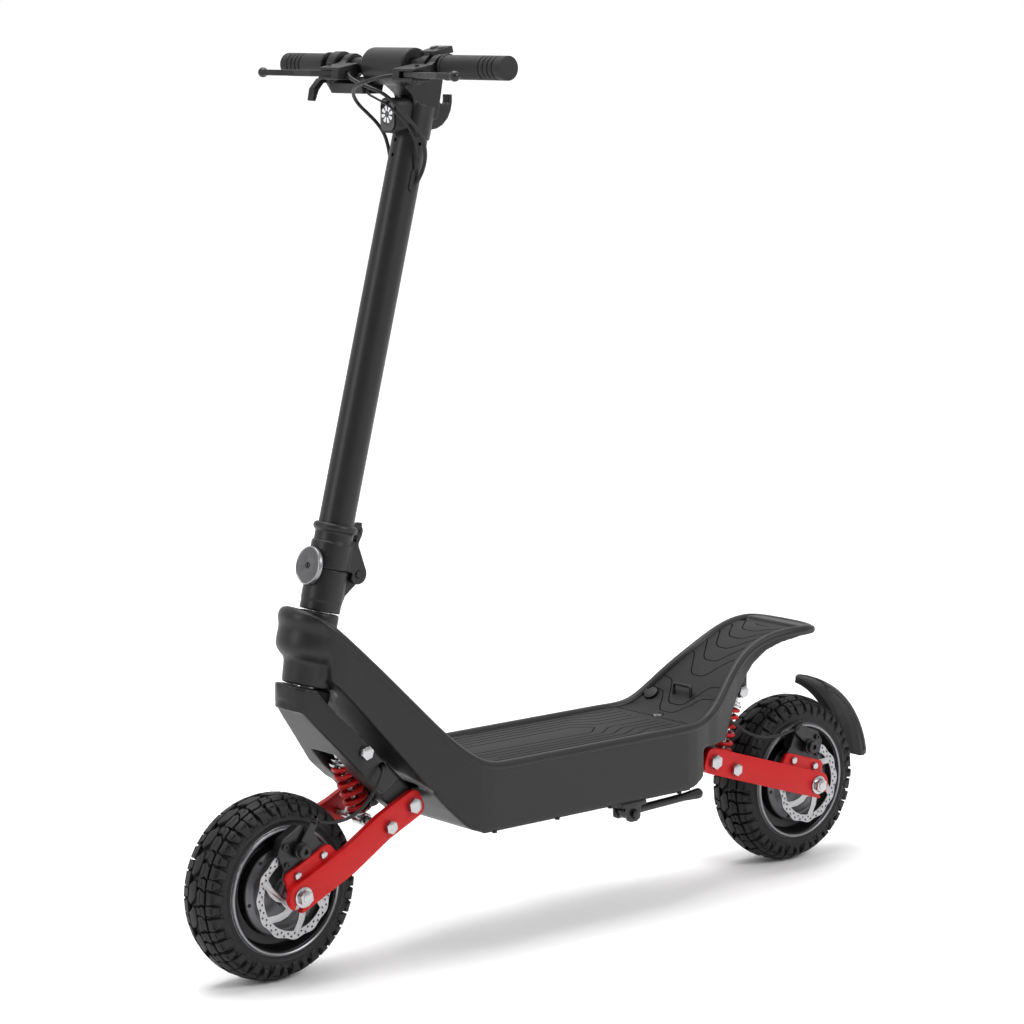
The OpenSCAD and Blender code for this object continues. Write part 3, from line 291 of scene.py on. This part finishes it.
def lathe(name, profile, place, mat, body, replaces=(), steps=128, sharp=35):
    """A closed profile of (radius, y) in millimetres turned about the Y axis of place."""
    n = len(profile)
    verts = []
    for i in range(steps):
        a = 2 * math.pi * i / steps
        verts += [place @ Vector((r * MM * math.cos(a), y * MM, r * MM * math.sin(a))) for r, y in profile]
    faces = [(i * n + k, i * n + (k + 1) % n, (i + 1) % steps * n + (k + 1) % n, (i + 1) % steps * n + k)
             for i in range(steps) for k in range(n)]
    o = tidy_normals(made(name, verts, faces, mat, body, replaces))
    o.data.set_sharp_from_angle(angle=math.radians(sharp))
    return o


def smooth_path(points, per=6):
    """A Catmull-Rom curve through the points."""
    p = [Vector(q) for q in points]
    p = [2 * p[0] - p[1]] + p + [2 * p[-1] - p[-2]]
    out = []
    for i in range(1, len(p) - 2):
        a, b, c, d = p[i - 1:i + 3]
        for k in range(per):
            t = k / per
            out.append(0.5 * (2 * b + (c - a) * t + (2 * a - 5 * b + 4 * c - d) * t * t
                              + (3 * b - a - 3 * c + d) * t ** 3))
    return out + [p[-2]]


def tube(name, points, radius, mat, body, replaces=(), sides=14):
    """A round tube along points in millimetres."""
    n = len(points)
    verts, faces = [], []
    across = None
    for i, q in enumerate(points):
        along = (points[min(i + 1, n - 1)] - points[max(i - 1, 0)]).normalized()
        if across is None:
            across = along.orthogonal().normalized()
        across = (across - along * across.dot(along)).normalized()
        up = along.cross(across)
        verts += [(q + radius * (math.cos(2 * math.pi * k / sides) * across
                                 + math.sin(2 * math.pi * k / sides) * up)) * MM for k in range(sides)]
    for i in range(n - 1):
        for k in range(sides):
            m = (k + 1) % sides
            faces.append((i * sides + k, i * sides + m, (i + 1) * sides + m, (i + 1) * sides + k))
    faces.append(tuple(reversed(range(sides))))
    faces.append(tuple((n - 1) * sides + k for k in range(sides)))
    return tidy_normals(made(name, verts, faces, mat, body, replaces))


# Tread surface and carcass surface across half the tyre: share of the half width, radius, y
TREAD = ((0, 0.25, 0.5, 0.75, 0.9, 1.0, 1.15), (127.4, 126.8, 124.6, 120.6, 116.3, 110.0, 101.0),
         (0, 9, 17.5, 27.6, 33.2, 36.2, 36.6))
CARCASS = ((0, 0.25, 0.5, 0.75, 0.9, 1.0, 1.15), (121.0, 120.4, 118.0, 113.3, 109.3, 104.5, 98.0),
           (0, 9, 16.5, 24.5, 29.5, 33.2, 34.6))


def across_tyre(table, t):
    """Radius and y of a tyre surface at a signed share t of the half width."""
    s = abs(t)
    return (float(np.interp(s, table[0], table[1])),
            math.copysign(float(np.interp(s, table[0], table[2])), t))


# Tread blocks of one pitch: rows of (share of the half width, start, end) along the pitch
PITCHES = 21
CENTRE = [(-0.20, 0.06, 0.58), (-0.07, -0.03, 0.70), (0.07, 0.10, 0.84), (0.20, 0.22, 0.76)]
SHOULDERS = [
    [(0.28, 0.04, 0.47), (0.37, -0.03, 0.53), (0.49, 0.05, 0.50), (0.60, 0.0, 0.38)],
    [(0.27, 0.62, 0.94), (0.38, 0.66, 0.87), (0.50, 0.60, 0.95), (0.59, 0.50, 0.88)],
    [(0.68, 0.02, 0.46), (0.80, 0.0, 0.45), (0.95, 0.05, 0.42), (1.12, 0.11, 0.35)],
    [(0.66, 0.58, 0.93), (0.79, 0.55, 0.93), (0.90, 0.60, 0.88), (1.0, 0.66, 0.84)],
]
LOW_RIBS = [
    [(0.62, 0.44, 0.50), (0.78, 0.48, 0.52)], [(0.24, 0.56, 0.60), (0.50, 0.54, 0.57)],
    [(1.0, 0.46, 0.52), (1.1, 0.50, 0.56)], [(1.03, 0.62, 0.90), (1.07, 0.60, 0.92)],
]


def knobby_tyre(end):
    """Carcass of a tyre and its tread blocks, one pitch after another."""
    axle = Vector(JOINT[end + "_wheel_spin"]["pos_m"])
    place = Matrix.Translation(axle)
    half = [(118.5, 17), (114.5, 24.5), (110.2, 30.0), (105, 33.6), (100.5, 35.0), (97.5, 35.2),
            (97.0, 35.7), (95.6, 35.7), (95.0, 35.0), (92.5, 34.2), (90.5, 33.9), (89.8, 34.4),
            (88.4, 34.2), (87.4, 33.0), (84.8, 31.6)]
    inner = [(84.4, 25.5), (92, 27.5), (104, 29), (111, 24.5), (115.5, 14)]
    profile = ([(121.2, 0), (120.7, 9)] + half + inner + [(117, 0)]
               + [(r, -y) for r, y in reversed(inner)] + [(r, -y) for r, y in reversed(half)] + [(120.7, -9)])
    lathe(end + "_carcass", profile, place, "tyre", end + "_wheel", [end + "_tyre"], 160, 50)
    rng = random.Random(7 if end == "front" else 11)
    b = bmesh.new()
    dimples = []

    def block(rows, shift, side, lift=1.0):
        """One block; lift is its height as a share of the tread's."""
        ring = []
        jitter = rng.uniform(-0.035, 0.035)
        for t, u0, u1 in rows:
            top, base = across_tyre(TREAD, t), across_tyre(CARCASS, t)
            top = [base[k] + (top[k] - base[k]) * lift for k in (0, 1)]
            row = []
            for u in (u0, u1):
                u += jitter + rng.uniform(-0.03, 0.03)
                inset = 0.02 if u > (u0 + u1) / 2 else -0.02
                for (r, y), extra in ((top, 0), ((base[0] - 1.2, base[1] * 0.985), inset)):
                    a = 2 * math.pi * (u + extra + shift) / PITCHES
                    row.append(b.verts.new((axle.x + r * MM * math.cos(a), y * side * MM,
                                            axle.z + r * MM * math.sin(a))))
            ring.append(row)
        for low, high in zip(ring, ring[1:]):
            f = b.faces.new((low[0], low[2], high[2], high[0]))
            # The large shoulder blocks have a dimple in the middle
            if lift == 1.0 and low is ring[1] and abs(rows[0][0]) > 0.25:
                dimples.append(f)
            b.faces.new((low[1], low[0], high[0], high[1]))
            b.faces.new((low[2], low[3], high[3], high[2]))
            b.faces.new((low[3], low[1], high[1], high[3]))
        b.faces.new((ring[0][1], ring[0][3], ring[0][2], ring[0][0]))
        b.faces.new((ring[-1][0], ring[-1][2], ring[-1][3], ring[-1][1]))

    for i in range(PITCHES):
        block(CENTRE, i, 1)
        for side, offset in ((1, 0), (-1, 0.5)):
            for rows in SHOULDERS:
                block(rows, i + offset, side)
            for rows in LOW_RIBS:
                block(rows, i + offset, side, 0.55)
    bmesh.ops.recalc_face_normals(b, faces=b.faces)
    bmesh.ops.inset_individual(b, faces=dimples, thickness=2.4 * MM, depth=0)
    bmesh.ops.inset_individual(b, faces=dimples, thickness=0.5 * MM, depth=-1.6 * MM)
    mesh = bpy.data.meshes.new(end + "_tread")
    b.to_mesh(mesh)
    b.free()
    o = linked(end + "_tread", mesh)
    v = o.modifiers.new("worn", "BEVEL")
    v.width = 0.9 * MM
    v.segments = 2
    v.limit_method = "ANGLE"
    v.angle_limit = math.radians(30)
    bake(o)
    dress(o, "tyre", end + "_wheel", [end + "_tyre"])
    o.data.set_sharp_from_angle(angle=math.radians(55))


def wheel(end):
    """Rim lips, dishes, motor covers with their screws and the rim's barrel, over one hub motor."""
    place = Matrix.Translation(JOINT[end + "_wheel_spin"]["pos_m"])
    body, node = end + "_wheel", end + "_hub_motor"
    for side, tag in ((1, "left"), (-1, "right")):
        def half(points):
            return [(r, y * side) for r, y in points]
        lathe(f"{end}_rim_lip_{tag}", half([(83.4, 33.0), (83.2, 36.2), (84.0, 38.0), (85.4, 38.7), (87.0, 38.2),
              (88.0, 36.4), (88.6, 34.4), (90.4, 33.6), (90.6, 33.0), (87, 31.5)]), place, "rim_lip", body,
              [node])
        lathe(f"{end}_rim_dish_{tag}", half([(83.6, 34.4), (82.6, 33.6), (80.6, 24), (79.4, 18), (76, 14.5),
              (66, 13.2), (63.4, 14.4), (62.6, 20), (62.6, 28.8), (61, 29.4), (61, 9), (84, 9), (86, 30)]), place,
              "black_alloy", body, [node])
        lathe(f"{end}_motor_cover_{tag}", half([(61.8, 26), (61.6, 28.6), (60.4, 29.9), (54.6, 32.2), (53.4, 33.4),
              (50, 33.6), (48.6, 32.9), (44, 33.3), (30, 34.4), (24, 34.9), (20.6, 35.6), (18.6, 40.2), (17.2, 41),
              (6.2, 41), (6.2, 20), (61, 20)]), place, "motor_cover", body, [node])
        for i in range(6):
            turn = place @ Matrix.Rotation(math.radians(60 * i + 11), 4, "Y") @ Matrix.Translation((0.0575, 0, 0))
            lathe(f"{end}_cover_screw_{tag}_{i}", half([(0.2, 30), (2.4, 30), (2.6, 31.6), (2.0, 32.4), (1.5, 32.5),
                  (1.4, 31.4), (0.2, 31.4)]), turn, "dark_steel", body, [node], 20)
    lathe(f"{end}_rim_barrel", [(88, 30), (84.2, 20), (83.2, 8), (83.2, -8), (84.2, -20), (88, -30), (80, -20),
          (78, 0), (80, 20)], place, "black_alloy", body, [node])


# Distance of a shock's spring seats from its lower and upper eye
LOW_SEAT, HIGH_SEAT = 19.5, 25.6


def spring(name, node, low, high, y, outer, wire, top_body, rod_body):
    """A round-wire coil with closed ends between the two seats of a shock."""
    low, high = Vector(low), Vector(high)
    axis = (high - low).normalized()
    side = Vector((axis.z, 0, -axis.x))
    start, end = LOW_SEAT + wire / 2, (high - low).length - HIGH_SEAT - wire / 2
    turns, steps = 5.6, 26
    closed, closed_rise = 0.75, 0.075
    r = (outer - wire) / 2
    path = []
    for i in range(int(turns * steps) + 1):
        rise = np.interp(i / steps, [0, closed, turns - closed, turns], [0, closed_rise, 1 - closed_rise, 1])
        a = 2 * math.pi * i / steps
        path.append(low + axis * (start + (end - start) * rise) + side * (r * math.cos(a))
                    + Vector((0, y + r * math.sin(a), 0)))
    o = tube(name, path, wire / 2, "red_paint", None, [node], 12)
    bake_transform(o)


def shock_eyes(end):
    """Lower and upper eye of a shock, in millimetres."""
    low = arm_matrix(end) @ Vector((SHOCK_HOLE[0] * MM, 0, SHOCK_HOLE[1] * MM))
    return low / MM, Vector(JOINT[end + "_shock_swing"]["pos_m"]) / MM


for end in ("front", "rear"):
    knobby_tyre(end)
    wheel(end)
spring("front_coil", "front_spring", *shock_eyes("front"), 0, 37, 6.8, "front_damper", "front_damper_rod")
for y, tag in ((25, "left"), (-25, "right")):
    spring(f"rear_coil_{tag}", "rear_springs", *shock_eyes("rear"), y, 32, 5.8, "rear_dampers", "rear_damper_rods")

# Brake cables run between the sprung and the unsprung side, on no body
front_route = smooth_path([(357, 56, 281), (361, 67, 280), (368, 72, 270), (384, 74, 249), (400, 73, 233),
                           (418, 70, 222), (438, 67, 218), (458, 66, 220), (469, 65, 223)], 8)
o = tube("front_cable", front_route, 2.3, "cable_rubber", None, ["front_brake_cable"])
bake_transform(o)
rear_route = smooth_path([(-280, 41.5, 262.5), (-291, 42, 257), (-304, 43, 250), (-318, 46, 240), (-336, 52, 226),
                          (-356, 58, 216), (-374, 62, 213), (-392, 64, 213), (-410, 65, 215), (-425, 65, 217.5)], 8)
o = tube("rear_cable", rear_route, 2.3, "cable_rubber", None, ["rear_brake_cable"])
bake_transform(o)

# Cables of the handlebar
ROUTES = {
    "right_cable": (2.5, [(318, -55, 1203), (318, -52.4, 1203), (322, -48, 1202), (328, -36, 1198), (331, -16, 1192),
                    (327, 6, 1185), (318, 20, 1178), (306, 29, 1166), (292, 34, 1150), (278, 37, 1135),
                    (266, 38, 1120), (260, 37, 1105), (258, 35, 1090), (260, 32, 1075), (264, 29, 1064),
                    (268, 25.6, 1056)]),
    "left_cable": (2.5, [(318, 63, 1203), (318, 60.4, 1203), (326, 54, 1202), (337, 40, 1199), (344, 20, 1194),
                   (344, -4, 1187), (334, -22, 1176), (318, -32, 1163), (300, -35, 1150), (283, -37, 1137),
                   (270, -38, 1122), (264, -37, 1105), (263, -34, 1088), (265, -29, 1073), (269, -25.6, 1062)]),
    "throttle_cable": (1.6, [(298, -33, 1184), (308, -26, 1181), (317, -10, 1176), (317, 8, 1170), (308, 22, 1161),
                       (296, 27, 1148), (282, 29, 1134), (272, 30, 1116), (268, 29.6, 1098), (268, 28.4, 1084),
                       (268, 25.6, 1075)]),
}
for name, (radius, route) in ROUTES.items():
    tube(name, smooth_path(route, 7), radius, "cable_rubber", "stem", ["bar_cables"])


# Rolled edge along the neck, the deck and the kickplate: (x, z) of the crest and (x, y) of the side
EDGE_TOP = [(446, 492.5), (429, 478), (401, 450.6), (371, 421), (336, 385), (306, 354), (284, 331), (264, 311.5),
            (248, 297), (236, 287.5), (224, 279), (212, 272), (200, 267), (188, 264.4), (176, 263.5), (-190, 263.5),
            (-208, 264), (-224, 267.5), (-244, 278), (-264, 294), (-284, 311.5), (-304, 327), (-324, 340.5),
            (-344, 352), (-364, 360.5), (-384, 366.6), (-404, 370.4), (-424, 372.6), (-446, 373), (-472, 371.2)]
EDGE_SIDE = [(-472, 63), (-462, 67.5), (-448, 67.5), (-428, 65), (-408, 61.5), (-388, 58), (-368, 55.5),
             (-348, 55), (-328, 57.5), (-308, 62.5), (-288, 70), (-268, 77), (-248, 83.5), (-228, 87),
             (-212, 92), (-196, 96), (-176, 98), (190, 98), (214, 96.5), (236, 93), (262, 88), (292, 82),
             (336, 73), (394, 61), (416, 57), (436, 51), (452, 42)]


def edge_bead():
    """One closed bead round the frame's rim, carried across the nose on a ring about the steering axis."""
    inset, radius, nose_r, nose_h, nose_half_turn, smoothings = 5.2, 7.0, 0.0484, 0.4975, 0.72, 6
    half = []
    for x in np.arange(443, -470, -6.0):
        z = np.interp(x, [q[0] for q in EDGE_TOP[::-1]], [q[1] for q in EDGE_TOP[::-1]])
        y = np.interp(x, [q[0] for q in EDGE_SIDE], [q[1] for q in EDGE_SIDE])
        half.append(Vector((x, y - inset, z - inset)))
    half += [Vector((-472, 54, 366)), Vector((-475.6, 40, 366)), Vector((-476.4, 20, 366))]
    nose = []
    for a in np.linspace(nose_half_turn, -nose_half_turn, 9):
        nose.append((STEM @ Vector((nose_r * math.cos(a), nose_r * math.sin(a), nose_h))) / MM)
    mirror = Matrix.Scale(-1, 4, (0, 1, 0))
    path = half + [mirror @ p for p in half[::-1]] + nose[::-1]
    n = len(path)
    for _ in range(smoothings):
        path = [(path[i - 1] + 2 * path[i] + path[(i + 1) % n]) / 4 for i in range(n)]
    tube("edge_bead", path + [path[0], path[1]], radius, "frame_paint", "frame", ["frame_shell"], 16)


edge_bead()


def cornered(points, radius=7, spacing=6):
    """Straight runs joined by short round corners, with a point every few millimetres."""
    points = [Vector(p) for p in points]
    turned = [points[0]]
    for before, here, after in zip(points, points[1:], points[2:]):
        back, ahead = before - here, after - here
        cut = min(radius, back.length / 2, ahead.length / 2)
        a, b = here + back.normalized() * cut, here + ahead.normalized() * cut
        turned += [a.lerp(here, t).lerp(here.lerp(b, t), t) for t in (0, 0.25, 0.5, 0.75, 1)]
    turned.append(points[-1])
    path = [turned[0]]
    for a, b in zip(turned, turned[1:]):
        n = max(1, math.ceil((b - a).length / spacing))
        path += [a.lerp(b, i / n) for i in range(1, n + 1)]
    return path


def mat_lines():
    """Moulded lines that follow the two mats: flat-sided ridges laid on the rubber by a ray from above, coloured
    near-black as painted shade of the grooves.
    """
    half_line, sunk, raised = 1.05 * MM, 0.02 * MM, 0.16 * MM
    mesh = nodes["foot_mats"].data
    mats = BVHTree.FromPolygons([v.co for v in mesh.vertices], [f.vertices for f in mesh.polygons])
    lines = [
        [(176, 0), (158, 19), (-56, 22), (-82, 0)],
        [(204, 14), (182, 33), (-64, 36), (-98, 12), (-178, 12)],
        [(208, 34), (196, 45), (-76, 48), (-110, 27), (-180, 27)],
        [(150, 57), (-86, 60), (-122, 41), (-182, 41)],
        [(208, 62), (180, 69), (-98, 72), (-134, 56), (-184, 56)],
        [(90, 80), (-108, 83), (-146, 71), (-184, 71)],
    ]
    for x, reach in ((-222, 72), (-240, 72), (-286, 60), (-312, 50), (-338, 46), (-364, 46), (-392, 50),
                     (-420, 52)):
        lines.append([(x, 0), (x, 10), (x - 5, 18), (x - 34, 40), (x - 38, reach)])
    verts, faces = [], []
    for line in lines:
        for side in (1, -1):
            path = cornered([(x, y * side, 0) for x, y in line])
            last = None
            for i, q in enumerate(path):
                where, normal, _, _ = mats.ray_cast(Vector((q.x * MM, q.y * MM, 0.6)), Vector((0, 0, -1)))
                if where is None or normal.z < 0.3:
                    last = None
                    continue
                along = path[min(i + 1, len(path) - 1)] - path[max(i - 1, 0)]
                across = Vector((-along.y, along.x, 0)).normalized()
                across -= normal * across.dot(normal)
                base = len(verts)
                verts += [where + across * half_line + normal * sunk, where + normal * raised,
                          where - across * half_line + normal * sunk]
                if last is not None:
                    faces += [(last, last + 1, base + 1, base), (last + 1, last + 2, base + 2, base + 1)]
                last = base
    # The lines carry the painted groove shade
    made("mat_lines", verts, faces, "painted_groove_shade", "frame")


mat_lines()

# Headlamp reflector and rings, rings of the folding joint's disc
LAMP = (0.2944, 0, 1.1495)
for i in range(8):
    turn = (Matrix.Translation(LAMP) @ Matrix.Rotation(math.radians(45 * i + 14), 4, "X")
            @ Matrix.Translation((0, 0, 0.0078)))
    verts = [turn @ Vector((x, y, z)) for x in (0, 0.0004) for y, z in ((-0.0012, -0.0034), (0.0012, -0.0034),
             (0.0026, 0.0028), (0, 0.0042), (-0.0026, 0.0028))]
    made(f"lamp_facet_{i}", verts, [(0, 1, 2, 3, 4), (9, 8, 7, 6, 5), (0, 5, 6, 1), (1, 6, 7, 2), (2, 7, 8, 3),
         (3, 8, 9, 4), (4, 9, 5, 0)], "reflector", "stem", smooth=False)
lamp_axis = Matrix.Translation((0.2938, 0, 1.1495)) @ Matrix.Rotation(math.radians(-90), 4, "Z")
lathe("lamp_ring", [(13.4, -0.2), (13.4, 0.5), (14.0, 0.8), (14.4, 0.4), (14.4, -0.2)], lamp_axis, "dark_steel",
      "stem")
disc = STEM @ Matrix.Translation((0, 0, 0.5644)) @ Matrix.Rotation(math.radians(-90), 4, "Z")
lathe("disc_ring", [(23.4, 29.4), (26.1, 29.4), (26.4, 31), (26.0, 33.4), (25.2, 34.5), (24.0, 34.9), (23.3, 34)],
      disc, "rim_lip", "stem")
lathe("disc_screw_ring", [(3.2, 34.2), (4.4, 34.2), (4.5, 35.1), (4.1, 35.3), (3.2, 35.2), (2.9, 33)], disc,
      "dark_steel", "stem", steps=48)

# Round adjuster on each caliper's pull arm, its bolts and the cable stop
for end in ("front", "rear"):
    place = arm_matrix(end)
    cam = place @ Matrix.Translation((0.188, 0, 0.054))
    lathe(f"{end}_caliper_knob", [(0.3, 66), (11.2, 66), (11.6, 67), (11.6, 70.4), (10.6, 71.4), (9.4, 71.6),
          (9.2, 76.6), (8.2, 77.6), (4.2, 77.6), (3.6, 76.8), (3.6, 74), (0.3, 74)], cam, "dark_steel", end + "_cam",
          steps=64)
    for k, (x, z, r) in enumerate(((0.166, 0.072, 4.2), (0.205, 0.070, 4.6), (0.213, 0.046, 4.2))):
        spot = place @ Matrix.Translation((x, 0, z))
        lathe(f"{end}_caliper_bolt_{k}", [(0.2, 60), (r, 60), (r, 63.4), (r - 0.7, 64.2), (r * 0.5, 64.2),
              (r * 0.45, 62.6), (0.2, 62.6)], spot, "dark_steel", end + "_swing", steps=28)
    lathe(f"{end}_cable_stop", [(2.4, -7), (4.4, -7), (4.6, -6), (4.6, 2), (3.6, 3), (3.6, 8), (2.4, 8)],
          place @ Matrix.Translation((0.152, 0.068, 0.080)) @ Matrix.Rotation(math.radians(50), 4, "X"),
          "dark_steel", end + "_swing", steps=28)


# ---------------------------------------------------------------- studio
def studio():
    """A bright room behind the object, darker on the camera's side so that black paint keeps its depth."""
    world = bpy.data.worlds.new("studio")
    bpy.context.scene.world = world
    world.use_nodes = True
    t = world.node_tree
    back = t.nodes["Background"]
    where = t.nodes.new("ShaderNodeTexCoord")
    toward = t.nodes.new("ShaderNodeVectorMath")
    toward.operation = "DOT_PRODUCT"
    toward.inputs[1].default_value = (0.66, 0.75, 0.0)
    level = t.nodes.new("ShaderNodeMapRange")
    level.interpolation_type = "SMOOTHSTEP"
    level.inputs["From Min"].default_value = -0.55
    level.inputs["From Max"].default_value = 0.75
    level.inputs["To Min"].default_value = 1.0
    level.inputs["To Max"].default_value = 0.22
    t.links.new(where.outputs["Generated"], toward.inputs[0])
    t.links.new(toward.outputs["Value"], level.inputs["Value"])
    # The room itself is seen white from every side
    seen = t.nodes.new("ShaderNodeLightPath")
    white = t.nodes.new("ShaderNodeMath")
    white.operation = "MAXIMUM"
    t.links.new(level.outputs["Result"], white.inputs[0])
    t.links.new(seen.outputs["Is Camera Ray"], white.inputs[1])
    t.links.new(white.outputs["Value"], back.inputs["Strength"])
    back.inputs["Color"].default_value = (1, 1, 1, 1)

    def area(name, at, to, size, power):
        d = bpy.data.lights.new(name, "AREA")
        d.shape = "RECTANGLE"
        d.size, d.size_y = size
        d.energy = power
        o = linked(name, d)
        o.location = at
        o.rotation_mode = "QUATERNION"
        o.rotation_quaternion = (Vector(to) - Vector(at)).to_track_quat("-Z", "Y")

    area("key", (-0.9, 3.6, 3.0), (0, 0, 0.5), (1.8, 1.8), 105)
    area("top", (0.2, -0.6, 4.2), (0, 0, 0.3), (3.6, 2.6), 150)
    area("left", (4.4, -0.6, 2.2), (0.3, 0, 0.6), (1.0, 2.4), 55)

    # Painted glow: the floor's emission grows with distance, so the far floor brightens and fades into the white room
    floor_mat = material("floor", (0.94, 0.94, 0.94), 0.8, vary=0.02, grain=200, grain_depth=0.02)
    t = floor_mat.node_tree
    where = t.nodes.new("ShaderNodeTexCoord")
    away = t.nodes.new("ShaderNodeVectorMath")
    away.operation = "LENGTH"
    painted_glow = t.nodes.new("ShaderNodeMapRange")
    painted_glow.interpolation_type = "SMOOTHSTEP"
    painted_glow.inputs["From Min"].default_value = 0.6
    painted_glow.inputs["From Max"].default_value = 4.0
    painted_glow.inputs["To Max"].default_value = 0.42
    paint = t.nodes["Principled BSDF"]
    paint.inputs["Emission Color"].default_value = (1, 1, 1, 1)
    t.links.new(where.outputs["Object"], away.inputs[0])
    t.links.new(away.outputs["Value"], painted_glow.inputs["Value"])
    t.links.new(painted_glow.outputs["Result"], paint.inputs["Emission Strength"])
    mesh = bpy.data.meshes.new("floor")
    reach = 200
    mesh.from_pydata([(-reach, -reach, 0), (reach, -reach, 0), (reach, reach, 0), (-reach, reach, 0)], [],
                     [(0, 1, 2, 3)])
    mesh.materials.append(floor_mat)
    floor = linked("floor", mesh)


def camera():
    """The photograph's view of the object."""
    data = bpy.data.cameras.new("camera")
    data.lens = 112.8
    data.sensor_width = 36
    o = linked("camera", data)
    o.location = (2.9624, 3.3846, 1.2745)
    target = Vector((0.07579, 0, 0.59151))
    o.rotation_mode = "QUATERNION"
    o.rotation_quaternion = (target - o.location).to_track_quat("-Z", "Y")
    bpy.context.scene.camera = o


studio()
camera()
bpy.context.scene.view_settings.view_transform = "Standard"
